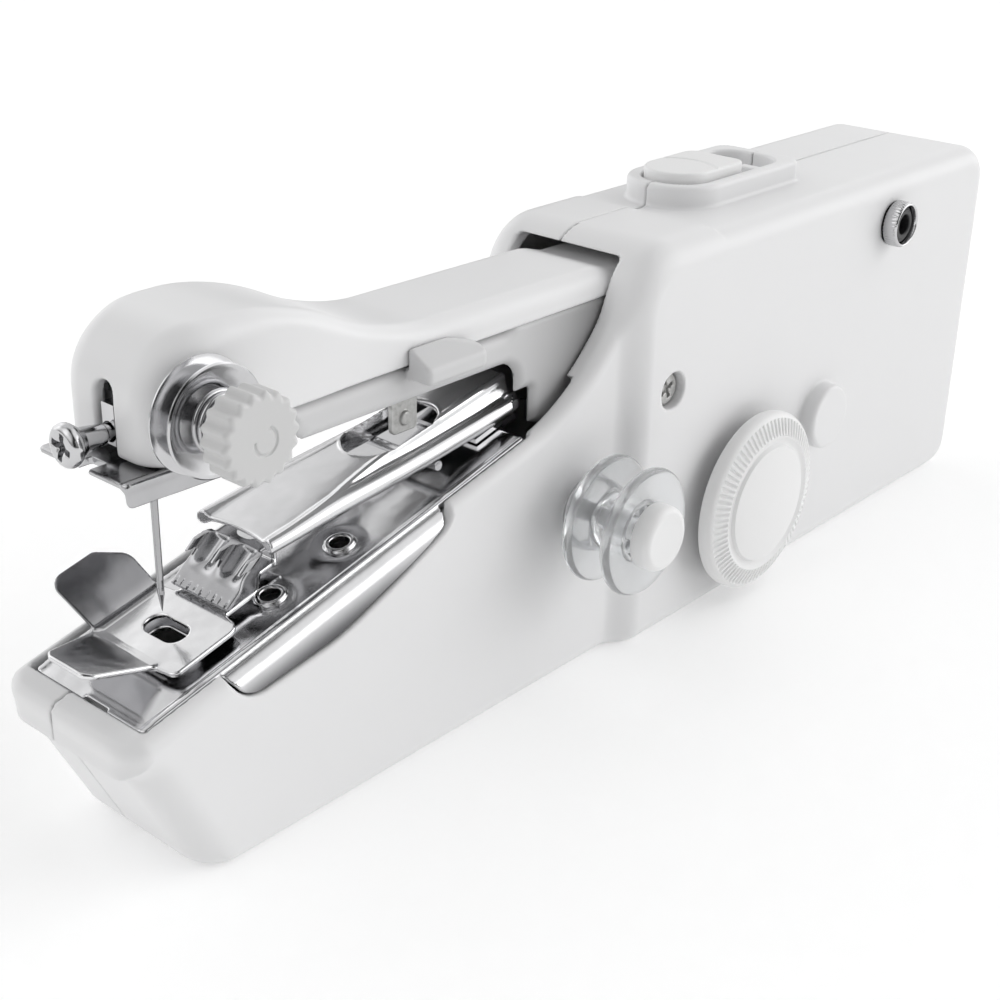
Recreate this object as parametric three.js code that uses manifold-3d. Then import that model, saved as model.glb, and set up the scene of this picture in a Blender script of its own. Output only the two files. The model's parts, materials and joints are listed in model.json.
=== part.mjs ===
// Handheld battery sewing machine, about 210 mm long.
// Frame, in millimetres: +X runs from the needle end to the battery end, the handwheel side faces -Y,
// +Z is up, z = 0 is the surface that it rests on and y = 0 is the middle of the casing.
import * as THREE from "three";
import { mergeVertices } from "three/addons/utils/BufferGeometryUtils.js";
import Module from "manifold-3d";

const wasm = await Module();
wasm.setup();

// ---------------------------------------------------------------- driving dimensions
const LENGTH = 210;
const REAR_X = LENGTH / 2;
const FRONT_X = -LENGTH / 2;
const SHOULDER_X = -8.5; // front of the tall motor body
const BODY_HALF = 17;
const BASE_HALF = 14.3;
const BODY_TOP = 67.2;
const WALL = 1.8;
const SEAM_Y = 2.6; // parting plane of the two casing halves
const GAP = 0.3; // clearance between touching pieces

const SLOPE = 0.25; // rise of the sewing bed towards the body
const BED = { x: -101.2, z: 25.1, end: -29, half: 11.8, thick: 1.2 };
const RIM_HEIGHT = 0.7; // casing rim above the needle plate

const ARM_PIVOT = { x: 15, z: 38 };
const ARM_HALF = 9.5;
const ARM_INSIDE = 8.3;
const NOSE_HALF = 9.8;
const NEEDLE_X = -88.4;
const NEEDLE_TIP_Z = 32.8;
const TENSION = { x: -88.4, z: 63.8 };

const WHEEL = { x: 22.8, z: 18.6, radius: 16 };
const MOTOR = { x: 47.5, z: 26.5, radius: 10, flat: 7.7 };
const SLOW_MODULE = 0.6; // crank gear and the idler's small gear
const FAST_MODULE = 0.5; // idler's large gear and the motor pinion
const TEETH = { crank: 44, idlerSmall: 12, idlerLarge: 30, pinion: 10 };
const DRIVE_PIN = { x: 33, z: 40 };
const ECCENTRIC = { dx: 1.09, dz: -1.03, radius: 3.6 }; // centre, measured from the shaft at rest

const LEVER_PIN = { x: -26.5, z: 46.6 };
const LEVER_FRONT = { x: -76, z: 40.4 };
const LEVER_SLOPE = 0.208;
const LEVER_HALF = 7.5;
const LINK_PIN = { x: -44, z: 42.2 };
const BOBBIN = { x: -19.5, z: 29.5, radius: 10.2 };
const SWITCH = { x0: 17.5, x1: 52, y: 2.3, half: 8.7, top: 71 };
const JACK = { x: 67.6, z: 58.5 };
const CELL = { radius: 7.1, length: 50.5, bottom: 4.4, columns: [79.5, 94.2], side: 7.4 };
const LOOPER = { x: -85.4, y: 6, z: 14 };

const COLOUR = { shell: 0xe9e9e9, chrome: 0xc9cbce, steel: 0x9a9c9f, brass: 0xc7a25a, black: 0x1c1c1e };

// ---------------------------------------------------------------- solids from three.js geometry
function solid(geometry) {
  const bare = geometry.clone();
  bare.deleteAttribute("normal");
  bare.deleteAttribute("uv");
  const merged = mergeVertices(bare, 1e-4);
  return new wasm.Manifold(
    new wasm.Mesh({
      numProp: 3,
      vertProperties: new Float32Array(merged.attributes.position.array),
      triVerts: new Uint32Array(merged.index.array),
    }),
  );
}

const join = (...solids) => solids.reduce((a, b) => a.add(b));
const common = (...shapes) =>
  shapes.map((s) => (s.isBufferGeometry ? solid(s) : s)).reduce((a, b) => a.intersect(b));
const cut = (first, ...tools) => tools.reduce((a, b) => a.subtract(b), first);

// Closed outline through [x, y, radius] corners, each rounded by its radius.
function outline(corners) {
  const shape = new THREE.Shape();
  corners.forEach(([x, y, radius = 0], i) => {
    const corner = new THREE.Vector2(x, y);
    const [px, py] = corners.at(i - 1);
    const [nx, ny] = corners[(i + 1) % corners.length];
    const back = new THREE.Vector2(px - x, py - y).normalize();
    const ahead = new THREE.Vector2(nx - x, ny - y).normalize();
    const turn = Math.PI - Math.acos(THREE.MathUtils.clamp(back.dot(ahead), -1, 1));
    const reach = radius * Math.tan(turn / 2);
    const handle = reach - (4 / 3) * Math.tan(turn / 4) * radius;
    const on = (direction, distance) => corner.clone().addScaledVector(direction, distance);
    const start = on(back, reach);
    const end = on(ahead, reach);
    if (i === 0) shape.moveTo(start.x, start.y);
    else shape.lineTo(start.x, start.y);
    if (radius) {
      const c1 = on(back, handle);
      const c2 = on(ahead, handle);
      shape.bezierCurveTo(c1.x, c1.y, c2.x, c2.y, end.x, end.y);
    }
  });
  shape.closePath();
  return shape;
}

const rectangle = (x0, x1, y0, y1, r = 0) =>
  outline([[x0, y0, r], [x1, y0, r], [x1, y1, r], [x0, y1, r]]);
const stadium = (x0, x1, y, half) => rectangle(x0, x1, y - half, y + half, half * 0.999);

function bevelOptions(depth, bevel, curveSegments) {
  if (!bevel) return { depth, bevelEnabled: false, curveSegments };
  return {
    depth: depth - 2 * bevel,
    bevelThickness: bevel,
    bevelSize: bevel,
    bevelOffset: -bevel,
    bevelSegments: 3,
    curveSegments,
  };
}

// Prism along Y from an outline drawn in x and z, with optional rounded side edges.
function prismY(shape, y0, y1, bevel = 0, curveSegments = 5) {
  const geometry = new THREE.ExtrudeGeometry(shape, bevelOptions(y1 - y0, bevel, curveSegments));
  return geometry.rotateX(Math.PI / 2).translate(0, y1 - bevel, 0);
}

// Prism along Z from an outline drawn in x and y.
function prismZ(shape, z0, z1, bevel = 0, curveSegments = 5) {
  const geometry = new THREE.ExtrudeGeometry(shape, bevelOptions(z1 - z0, bevel, curveSegments));
  return geometry.translate(0, 0, z0 + bevel);
}

// Prism along X from an outline drawn in y and z.
function prismX(shape, x0, x1, curveSegments = 5) {
  const geometry = new THREE.ExtrudeGeometry(shape, bevelOptions(x1 - x0, 0, curveSegments));
  const toX = new THREE.Matrix4().makeBasis(
    new THREE.Vector3(0, 1, 0),
    new THREE.Vector3(0, 0, 1),
    new THREE.Vector3(1, 0, 0),
  );
  return geometry.applyMatrix4(toX).translate(x0, 0, 0);
}

const box = (x0, x1, y0, y1, z0, z1) =>
  solid(
    new THREE.BoxGeometry(x1 - x0, y1 - y0, z1 - z0).translate((x0 + x1) / 2, (y0 + y1) / 2, (z0 + z1) / 2),
  );

// Turned geometry about a line along Y, Z or X; the profile lists [radius, position along the line].
function turned(profile, axis, a, b, segments = 20) {
  const points = profile.map(([radius, at]) => new THREE.Vector2(radius, at));
  const geometry = new THREE.LatheGeometry(points, segments);
  if (axis === "y") return geometry.translate(a, 0, b);
  if (axis === "z") return geometry.rotateX(Math.PI / 2).translate(a, b, 0);
  return geometry.rotateZ(-Math.PI / 2).translate(0, a, b);
}

const rod = (axis, a, b, radius, from, to, segments = 20) =>
  turned([[0, from], [radius, from], [radius, to], [0, to]], axis, a, b, segments);
const rodSolid = (...args) => solid(rod(...args));
const sleeve = (axis, a, b, inner, outer, from, to, segments = 24) =>
  turned([[inner, from], [outer, from], [outer, to], [inner, to], [inner, from]], axis, a, b, segments);

// Round wire along a list of points.
function wire(points, radius, steps, closed = false) {
  const path = new THREE.CatmullRomCurve3(points, closed);
  const section = new THREE.Shape().absarc(0, 0, radius, 0, 2 * Math.PI);
  const options = { extrudePath: path, steps, curveSegments: 4, bevelEnabled: false };
  return new THREE.ExtrudeGeometry(section, options);
}

// Coil spring about a line along Y.
function coilY(x, z, radius, wireRadius, y0, y1, turns) {
  const perTurn = 12;
  const count = turns * perTurn;
  const points = Array.from({ length: count + 1 }, (_, i) => {
    const angle = (2 * Math.PI * i) / perTurn;
    return new THREE.Vector3(
      x + radius * Math.cos(angle),
      y0 + ((y1 - y0) * i) / count,
      z + radius * Math.sin(angle),
    );
  });
  return wire(points, wireRadius, count);
}

// The sewing bed's own frame: x runs up the slope from the plate's front edge, z stands square off it.
const bedAngle = Math.atan(SLOPE);
const bedHeight = (x) => BED.z + SLOPE * (x - BED.x);
const alongBed = (x) => (x - BED.x) / Math.cos(bedAngle);
const onBed = (geometry) => geometry.rotateY(-bedAngle).translate(BED.x, 0, BED.z);

const leverHeight = (x) => LEVER_FRONT.z + LEVER_SLOPE * (x - LEVER_FRONT.x);

// ---------------------------------------------------------------- scene assembly
const machine = new THREE.Group();

function addPiece(name, shape, color, roughness = 0.35, metalness = 0) {
  let geometry = shape;
  if (!shape.isBufferGeometry) {
    const { vertProperties, triVerts } = shape.getMesh();
    geometry = new THREE.BufferGeometry();
    geometry.setAttribute("position", new THREE.BufferAttribute(new Float32Array(vertProperties), 3));
    geometry.setIndex(new THREE.BufferAttribute(new Uint32Array(triVerts), 1));
    geometry.computeVertexNormals();
  }
  const mesh = new THREE.Mesh(geometry, new THREE.MeshStandardMaterial({ color, roughness, metalness }));
  mesh.name = name;
  machine.add(mesh);
}

const addShell = (name, shape) => addPiece(name, shape, COLOUR.shell);
const addMetal = (name, shape, color = COLOUR.steel) => addPiece(name, shape, color, 0.3, 1);

// ---------------------------------------------------------------- casing halves
// The motor body and the sewing bed below the arm, as one hollow pod.
function casingPod() {
  const below = -6;
  const bodySide = outline([
    [SHOULDER_X, below],
    [REAR_X, below],
    [REAR_X, BODY_TOP, 7],
    [SHOULDER_X, BODY_TOP, 10],
  ]);
  const bedSide = outline([
    [10, below],
    [-91.1, below],
    [-103.2, 18.8],
    [FRONT_X, 19.6, 0.6],
    [FRONT_X, bedHeight(FRONT_X) + RIM_HEIGHT, 1],
    [-13.2, bedHeight(-13.2) + RIM_HEIGHT, 12],
    [-5, BODY_TOP],
    [10, BODY_TOP],
  ]);
  const floorLine = outline([
    [FRONT_X - 1, 0],
    [REAR_X, 0, 5],
    [REAR_X, BODY_TOP + 1],
    [FRONT_X - 1, BODY_TOP + 1],
  ]);
  const bodyPlan = rectangle(SHOULDER_X, REAR_X, -BODY_HALF, BODY_HALF, 3);
  const bodyEnd = outline([
    [-BODY_HALF, below],
    [BODY_HALF, below],
    [BODY_HALF, BODY_TOP, 4],
    [-BODY_HALF, BODY_TOP, 4],
  ]);
  const bedPlan = outline([
    [FRONT_X, -BASE_HALF, 5],
    [12, -BASE_HALF],
    [12, BASE_HALF],
    [FRONT_X, BASE_HALF, 5],
  ]);
  const bedEnd = outline([
    [-BASE_HALF, -90],
    [BASE_HALF, -90],
    [BASE_HALF, RIM_HEIGHT, 2.5],
    [-BASE_HALF, RIM_HEIGHT, 2.5],
  ]);
  const body = common(
    prismY(bodySide, -20, 20, 0, 6),
    prismZ(bodyPlan, -1, 80),
    prismX(bodyEnd, SHOULDER_X - 1, REAR_X + 1),
  );
  const bed = common(
    prismY(bedSide, -20, 20, 0, 6),
    prismZ(bedPlan, -1, 80),
    join(solid(onBed(prismX(bedEnd, -10, 100))), box(-30, 12, -BASE_HALF, BASE_HALF, -1, 80)),
  );
  return join(body, bed).intersect(solid(prismY(floorLine, -20, 20)));
}

function casingCavity() {
  const inner = BODY_HALF - WALL;
  const bodyInside = outline([
    [SHOULDER_X + WALL, WALL],
    [REAR_X - WALL, WALL, 4],
    [REAR_X - WALL, BODY_TOP - WALL, 6],
    [SHOULDER_X + WALL, BODY_TOP - WALL, 8],
  ]);
  const bedInside = outline([
    [0, WALL],
    [-91.6, WALL],
    [-101.4, 20],
    [-101.4, bedHeight(-101.4) - 3],
    [-13, bedHeight(-13) - 3, 8],
    [-4, 60],
    [0, 60],
  ]);
  return join(
    solid(prismY(bodyInside, -inner, inner, 2)),
    solid(prismY(bedInside, 2.3 - BASE_HALF, BASE_HALF - 2.3)),
  );
}

// Where the needle plate lies, the well below it, and the mouth that the arm comes out of.
function bedOpening() {
  const seat = outline([
    [BED.x - GAP, bedHeight(BED.x) - 1.6],
    [BED.end + GAP, bedHeight(BED.end) - 1.6],
    [BED.end + GAP, 70],
    [BED.x - GAP, 60],
  ]);
  const half = BED.half + GAP;
  return join(
    solid(prismY(seat, -half, half)),
    box(-99, BED.end + GAP, -10.6, 10.6, 15, 60),
    box(BED.end, -1.5, -9.8, 10.9, 20, 65.6),
  );
}

// Opening in the near rim that shows the needle plate's rounded shoulder.
function shoulderWindow(inset = 0) {
  const side = outline([
    [-89.3 + inset, 50],
    [-89.3 + inset, 28.2 + inset],
    [-87, 25.1 + inset, 1.5],
    [-84.5, 24.1 + inset, 2],
    [-69.5, 26.6 + inset, 15],
    [-54, 32.8 + inset, 10],
    [-48.6 - inset, 35.6 + inset, 2],
    [-47.3 - inset, 38],
    [-47.3 - inset, 50],
  ]);
  return solid(prismY(side, -16, -10.5));
}

function switchRing() {
  const rim = stadium(SWITCH.x0, SWITCH.x1, SWITCH.y, SWITCH.half);
  const outer = solid(prismZ(rim, BODY_TOP - 1, SWITCH.top, 0, 10));
  const ramp = outline([
    [45, SWITCH.y - 6.3],
    [45, SWITCH.y + 6.3],
    [19.9, SWITCH.y + 6.3, 6.2],
    [19.9, SWITCH.y - 6.3, 6.2],
  ]);
  return cut(outer, solid(prismZ(ramp, BODY_TOP + 0.4, SWITCH.top + 1, 0, 10)));
}

const DOOR = { x0: 70.5, half: 12.5, thick: 1.7, lip: 5.2 };

function batteryMouth() {
  return join(
    box(DOOR.x0, REAR_X + 1, -DOOR.half - GAP, DOOR.half + GAP, -1, WALL + 0.4),
    box(REAR_X - WALL - 0.9, REAR_X + 1, -DOOR.half - GAP, DOOR.half + GAP, -1, DOOR.lip + GAP),
  );
}

// Screws that clamp the halves: [x, z, side that the head sits on].
const CASING_SCREWS = [
  ["casing_screw_front", 1.1, 43.7, -1],
  ["casing_screw_bed", -95, 14, 1],
  ["casing_screw_middle", 60, 42, 1],
  ["casing_screw_rear", 66, 6, 1],
];

function casing() {
  const posts = CASING_SCREWS.map(([, x, z]) => {
    const half = x < SHOULDER_X ? BASE_HALF - 1 : BODY_HALF - 1;
    return rodSolid("y", x, z, 3.9, -half, half, 16);
  });
  const partition = box(DOOR.x0 - 1.2, DOOR.x0 + GAP, -16, 16, 1, 52);
  const ribs = join(partition, ...posts);
  const hollow = cut(casingCavity(), ribs);
  let pod = cut(join(casingPod(), switchRing()), hollow, bedOpening(), shoulderWindow(), batteryMouth());
  pod = join(
    pod,
    rodSolid("y", MOTOR.x, MOTOR.z, 6, -BODY_HALF - 3, -BODY_HALF + 0.5, 32),
    rodSolid("y", BOBBIN.x, BOBBIN.z, 3.2, -BASE_HALF - 0.9, -BASE_HALF + 4),
  );
  const bores = [
    rodSolid("y", WHEEL.x, WHEEL.z, 3.3, -20, 20),
    rodSolid("y", ARM_PIVOT.x, ARM_PIVOT.z, 1.6, -15.9, 15.9, 16),
    rodSolid("y", BOBBIN.x, BOBBIN.z, 1.8, -20, -5, 16),
    rodSolid("y", JACK.x, JACK.z, 3.6, -20, -10),
    box(26, 41, SWITCH.y - 2.3, SWITCH.y + 2.3, 60, 69),
  ];
  for (const [, x, z, side] of CASING_SCREWS) {
    const face = x < SHOULDER_X ? BASE_HALF : BODY_HALF;
    const ends = (from, to) => (side < 0 ? [-from, -to] : [to, from]);
    bores.push(rodSolid("y", x, z, 3.1, ...ends(face + 1, face - 2.6)));
    bores.push(rodSolid("y", x, z, 1.5, ...ends(face, face - 25), 16));
  }
  pod = cut(pod, ...bores);
  const nearHalf = cut(pod, box(-120, 120, SEAM_Y - GAP / 2, 40, -10, 90));
  const farHalf = cut(pod, box(-120, 120, -40, SEAM_Y + GAP / 2, -10, 90));
  return { nearHalf, farHalf };
}

const { nearHalf, farHalf } = casing();
addShell("right_casing", nearHalf);
addShell("left_casing", farHalf);

for (const [name, x, z, side] of CASING_SCREWS) {
  const face = (x < SHOULDER_X ? BASE_HALF : BODY_HALF) - 1.2;
  const profile = [
    [0, -face],
    [2.6, -face + 0.2],
    [2.8, -face + 1.1],
    [1.2, -face + 1.1],
    [1.2, -face + 20],
    [0, -face + 21],
  ];
  const geometry = turned(profile, "y", x, 0, 20);
  if (side > 0) geometry.rotateX(Math.PI);
  const slots = join(
    box(x - 1.6, x + 1.6, -face - 1, -face + 0.7, -0.3, 0.3),
    box(x - 0.3, x + 0.3, -face - 1, -face + 0.7, -1.6, 1.6),
  );
  const screw = side > 0 ? cut(solid(geometry), slots.rotate([180, 0, 0])) : cut(solid(geometry), slots);
  addMetal(name, screw.translate([0, 0, z]));
}

// ---------------------------------------------------------------- needle plate and bed
function needlePlate() {
  const length = alongBed(BED.end);
  const flat = solid(onBed(prismZ(rectangle(0, length, -BED.half, BED.half, 0.8), -BED.thick, 0)));
  const shoulder = outline([
    [-11.4, -0.3, 0.4],
    [-12.4, -0.5, 0.8],
    [-13.9, -2.4, 1.5],
    [-14, -7.5],
    [-13, -7.5],
    [-12.7, -2.6, 1],
    [-11.2, -1.5],
  ]);
  const skirt = solid(onBed(prismX(shoulder, alongBed(-90), alongBed(-46)))).intersect(shoulderWindow(GAP));
  const frontNotch = solid(onBed(prismZ(rectangle(-1, 0.6, -3.8, 1), -2, 1)));
  const slotAt = alongBed(NEEDLE_X + 0.3);
  const needleSlot = solid(onBed(prismZ(rectangle(slotAt - 2.2, slotAt + 2.2, -3.4, 3.4, 1.6), -2, 1)));
  let plate = cut(join(flat, skirt), frontNotch, needleSlot);
  const eyelet = [[0, -0.5], [3, -0.5], [3, 0.05], [2, 0.35], [0, 0.35]];
  for (const x of [-74.3, -61.3])
    for (const y of [-5.2, 5.2]) {
      const at = alongBed(x);
      plate = join(plate, solid(onBed(turned(eyelet, "z", at, y))));
      plate = cut(plate, solid(onBed(rod("z", at, y, 1.5, -3, 1, 16))));
    }
  return plate;
}
addMetal("needle_plate", needlePlate(), COLOUR.chrome);

// Bracket that stands on the plate's rear end and carries the presser lever.
function leverBracket() {
  const base = solid(onBed(prismZ(rectangle(alongBed(-34), alongBed(-25), -6.3, 6.3), 0.25, 1)));
  const ear = (side) =>
    solid(
      prismY(
        outline([[-28, 43], [-25, 43.8], [-25, 48.2, 1], [-28, 48.2, 1]]),
        side < 0 ? -6.3 : 5.6,
        side < 0 ? -5.6 : 6.3,
      ),
    );
  return cut(join(base, ear(-1), ear(1)), rodSolid("y", LEVER_PIN.x, LEVER_PIN.z, 1, -9, 9, 16));
}
addMetal("lever_bracket", leverBracket(), COLOUR.chrome);
addMetal("lever_pin", rod("y", LEVER_PIN.x, LEVER_PIN.z, 0.8, -7.4, 7.4, 16));

// ---------------------------------------------------------------- presser lever and foot
// Lower edge of the lever's side flanges, which grow towards the pin.
const FLANGE = [[-76, 39.1], [-66, 40.1], [-55.5, 41.1], [-45.2, 42.2], [-33.9, 43.8], [-26.5, 45]];
const LEVER_END = -25.4;

function presserLever() {
  const angle = Math.atan(LEVER_SLOPE);
  const place = (geometry) => geometry.rotateY(-angle).translate(LEVER_FRONT.x, 0, LEVER_FRONT.z);
  const skin = 0.8;
  const length = 51 / Math.cos(angle);
  const arch = (half, top, radius) =>
    outline([[-half, -9], [half, -9], [half, top, radius], [-half, top, radius]]);
  const outer = solid(place(prismX(arch(LEVER_HALF, 0, 3), 0, length)));
  const inner = solid(place(prismX(arch(LEVER_HALF - skin, -skin, 2.3), -1, length + 1)));
  const below = outline([...FLANGE, [-20, 45.8], [-20, 20], [-80, 20], [-80, 38.7]]);
  const window = solid(prismZ(stadium(-54, -38, 0, 4.9), 30, 60, 0, 8));
  const kept = outline([[-80, 30], [LEVER_END, 30], [LEVER_END, leverHeight(LEVER_END), 3], [-80, 39.6]]);
  const lips = [-1, 1].map((side) => {
    const path = FLANGE.map(([x, z]) => new THREE.Vector3(x + 0.05, side * 7.2, z + 0.5));
    return solid(wire(path, 0.7, 8));
  });
  const sheet = cut(outer, inner, solid(prismY(below, -12, 12)), window);
  const shell = sheet.intersect(solid(prismY(kept, -12, 12)));
  const holes = join(
    rodSolid("y", LINK_PIN.x, LINK_PIN.z, 0.95, -12, 12, 12),
    rodSolid("y", LEVER_PIN.x, LEVER_PIN.z, 1, -12, 12, 12),
  );
  return cut(join(shell, ...lips), holes);
}
addMetal("presser_lever", presserLever(), COLOUR.chrome);
addMetal("link_pin", rod("y", LINK_PIN.x, LINK_PIN.z, 0.75, -7.95, 7.95, 12), COLOUR.chrome);

// Strip that hangs from the arm and reaches through the lever's window as the arm comes down.
function feedStrip() {
  const side = outline([[-49.7, 47.4, 1], [-44.5, 47.4, 1], [-44.5, 58], [-49.7, 58]]);
  return join(solid(prismY(side, -4.2, -3.4)), rodSolid("y", -47.1, 49.6, 1.1, -4.7, -3.8, 16));
}
addMetal("feed_strip", feedStrip());

const FOOT = { top: 1.94, thick: 0.8, neckEnd: -70.2 };

function presserFoot() {
  const at = (x) => alongBed(x);
  const sole = outline([
    [at(-93.6), -4.8],
    [at(-93.4), -8.6, 1.3],
    [at(-82.2), -8.6, 2.2],
    [at(-81.8), -5],
    [at(-76), -5],
    [at(-73), -2.2],
    [at(FOOT.neckEnd), -2.2],
    [at(FOOT.neckEnd), 2.2],
    [at(-73), 2.2],
    [at(-76), 5],
    [at(-81.8), 5],
    [at(-82), 8.8],
    [at(-93.4), 8.8],
  ]);
  const bottom = FOOT.top - FOOT.thick;
  const plate = solid(onBed(prismZ(sole, bottom, FOOT.top)));
  const bend = { x: -93.7, z: bedHeight(-93.7) + FOOT.top + 0.03 };
  const toeSide = outline([
    [bend.x + 0.8, bend.z - 0.8],
    [bend.x + 0.4, bend.z + 0.15],
    [-104, 32],
    [-104.2, 31.2],
  ]);
  const toePlan = outline([
    [-93, -4.8],
    [-93, 8.8],
    [-103.4, 4.2, 1],
    [-104.2, 3],
    [-104.2, -3.6, 1],
    [-103, -4.8, 1],
  ]);
  const toe = solid(prismY(toeSide, -6, 10)).intersect(solid(prismZ(toePlan, 20, 40)));
  const tabOutline = outline([[0.6, -0.4], [11.6, -0.4], [11, 6, 2.5], [6.8, 9, 2], [-0.8, 9, 2]]);
  const lean = THREE.MathUtils.degToRad(50);
  const tab = new THREE.ExtrudeGeometry(tabOutline, { depth: 0.8, bevelEnabled: false, curveSegments: 4 });
  tab.rotateX(lean).translate(at(-93.5), 8.6, FOOT.top - 0.3);
  const top = (x) => leverHeight(x) - 1.1;
  const neckZ = bedHeight(FOOT.neckEnd) + 1.4;
  const riser = outline([
    [FOOT.neckEnd - 1, neckZ],
    [FOOT.neckEnd, neckZ],
    [FOOT.neckEnd, top(FOOT.neckEnd) - 0.8],
    [-64.5, top(-64.5) - 0.8],
    [-64.5, top(-64.5)],
    [FOOT.neckEnd - 0.8, top(FOOT.neckEnd - 0.8)],
  ]);
  const slotX = at(-87.6);
  const slot = solid(onBed(prismZ(rectangle(slotX - 1.9, slotX + 1.9, -3.7, 3.7, 1.8), -1, 4, 0, 6)));
  return cut(join(plate, toe, solid(onBed(tab)), solid(prismY(riser, -2.2, 2.2))), slot);
}
addMetal("presser_foot", presserFoot(), COLOUR.chrome);

// ---------------------------------------------------------------- feed claw
function feedClaw() {
  const skin = 0.7;
  const under = (x, gap) => leverHeight(x) - 0.8 - gap;
  const low = new THREE.Vector2(-82.4, 32.8);
  const high = new THREE.Vector2(-75.4, under(-75.4, 1));
  const up = high.clone().sub(low).normalize();
  const out = new THREE.Vector2(-up.y, up.x);
  const on = (along, off) => low.clone().addScaledVector(up, along).addScaledVector(out, off);
  const length = low.distanceTo(high);
  const face = new THREE.Shape([low, on(0, -skin), on(length, -skin), high]);
  let claw = solid(prismY(face, -6, 6));
  for (let i = 0; i < 5; i++) {
    const y = -4.8 + 2.4 * i;
    claw = cut(claw, box(-84, -80, y - 0.3, y + 0.3, 31, 33.6));
  }
  const rib = new THREE.Shape([on(3.4, -0.2), on(length, -0.2), on(length - 1, 1.1), on(5, 0.9)]);
  for (const y of [-5.6, 0.6]) claw = join(claw, solid(prismY(rib, y - 0.4, y + 0.4)));
  const bar = outline([
    [-75.6, under(-75.6, 1.6)],
    [-35, under(-35, 1.6)],
    [-35, under(-35, 1)],
    [-75.6, under(-75.6, 1)],
  ]);
  const windows = [stadium(-74.5, -60, 0, 3), stadium(-56.5, -37, 0, 4.9)].map((shape) =>
    solid(prismZ(shape, 30, 60, 0, 6)),
  );
  return join(claw, cut(solid(prismY(bar, -5.9, 5.9)), ...windows));
}
addMetal("feed_claw", feedClaw(), COLOUR.chrome);

// ---------------------------------------------------------------- arm
function armFrame() {
  const front = -73;
  const side = outline([
    [front, 59.5],
    [front, 56.4],
    [front + 2, 54.4, 1.5],
    [-32, 54.4, 3],
    [-28.6, 49.4],
    [-25.6, 49.2],
    [-25.4, 43.6],
    [4, 33.6],
    [19.5, 33.6],
    [19.5, 44],
    [8, 59.5],
  ]);
  const hollow = outline([[-80, 50], [-80, 58.3], [4, 58.3], [10, 46], [10, 30], [-30, 20]]);
  const boss = rodSolid("y", ARM_PIVOT.x, ARM_PIVOT.z, 4.4, -ARM_HALF, ARM_HALF);
  const tail = solid(prismY(outline([[12, 35], [35.4, 37.4, 2], [35.4, 42.6, 2], [12, 46]]), -3.5, 3.5));
  const channel = cut(
    solid(prismY(side, -ARM_HALF, ARM_HALF, 0.8)),
    solid(prismY(hollow, -ARM_INSIDE, ARM_INSIDE)),
    rodSolid("y", 1.1, 43.7, 6.6, -20, 20),
  );
  const outside = -ARM_HALF - GAP;
  const tabSide = outline([[-52, 58], [-40, 57.8], [-40, 61.4], [-46, 62.8], [-52, 61.8]]);
  const tab = join(
    cut(
      solid(prismY(tabSide, -13.8, outside, 0.8)),
      solid(prismX(outline([[-14.5, 59.8], [outside + 0.1, 63.4], [-14.5, 66]]), -56, -36)),
    ),
    box(-51, -41, outside - 1.5, 0.8 - ARM_HALF, 58.2, 59.4),
  );
  return cut(
    join(channel, boss, tail, tab),
    rodSolid("y", ARM_PIVOT.x, ARM_PIVOT.z, 1.8, -20, 20),
    rodSolid("y", DRIVE_PIN.x, DRIVE_PIN.z, 1.1, -20, 20, 16),
  );
}
addShell("arm_frame", armFrame());

function armCover() {
  const low = 59.8;
  const front = -94.8;
  const bar = outline([[-80, 50], [10, 50], [10, 64.2], [-56, 65], [-70.5, 73.9], [-80, 73.9]]);
  const nose = outline([[front, 50], [-62, 50], [-62, 68.7], [-70.5, 74], [front, 74, 9.5]]);
  const kept = outline([
    [front - 1, 57.5],
    [-73.3, 57.5],
    [-73.3, low],
    [20, low],
    [20, 80],
    [front - 1, 80],
  ]);
  const outer = join(
    solid(prismY(bar, -ARM_HALF, ARM_HALF, 3)),
    solid(prismY(nose, -NOSE_HALF, NOSE_HALF, 5)),
  ).intersect(solid(prismY(kept, -12, 12)));
  const hollow = outline([
    [front + 1.8, 50],
    [front + 1.8, 72.2, 7.5],
    [-71, 72.2],
    [-56.4, 63],
    [8.4, 62.4],
    [8.4, 50],
  ]);
  const inside = ARM_INSIDE - 0.7;
  const slot = solid(prismX(rectangle(-1.8, 1.8, 50, 67, 1.7), front - 2, front + 4));
  const post = rodSolid("y", TENSION.x, TENSION.z, 1.6, -12, -5, 16);
  return cut(outer, solid(prismY(hollow, -inside, inside, 2)), slot, post);
}
addShell("arm_cover", armCover());

// Needle clamp, needle, its set screw and the bracket below the nose.
function needleClamp() {
  const block = join(
    box(-91, -84, -4, 4, 58.6, 68.5),
    box(-92.6, -90, -4, 4, 58.6, 64.8),
    box(-94.2, -91.6, -1.2, 1.2, 58.6, 64),
  );
  const needleBore = rodSolid("z", NEEDLE_X, 0, 1.1, 50, 68, 16);
  const screwBore = rodSolid("x", 0, 60.3, 1.4, -96, NEEDLE_X + 1.2, 16);
  return cut(block, needleBore, screwBore);
}
addMetal("needle_clamp", needleClamp());

function needle() {
  const profile = [
    [0, NEEDLE_TIP_Z],
    [0.45, NEEDLE_TIP_Z + 3],
    [0.5, NEEDLE_TIP_Z + 16],
    [0.8, NEEDLE_TIP_Z + 18.5],
    [0.8, 66],
    [0, 66],
  ];
  const eye = box(NEEDLE_X - 0.15, NEEDLE_X + 0.15, -1, 1, NEEDLE_TIP_Z + 3.4, NEEDLE_TIP_Z + 4.8);
  return cut(solid(turned(profile, "z", NEEDLE_X, 0, 12)), eye);
}
addMetal("needle", needle());

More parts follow.
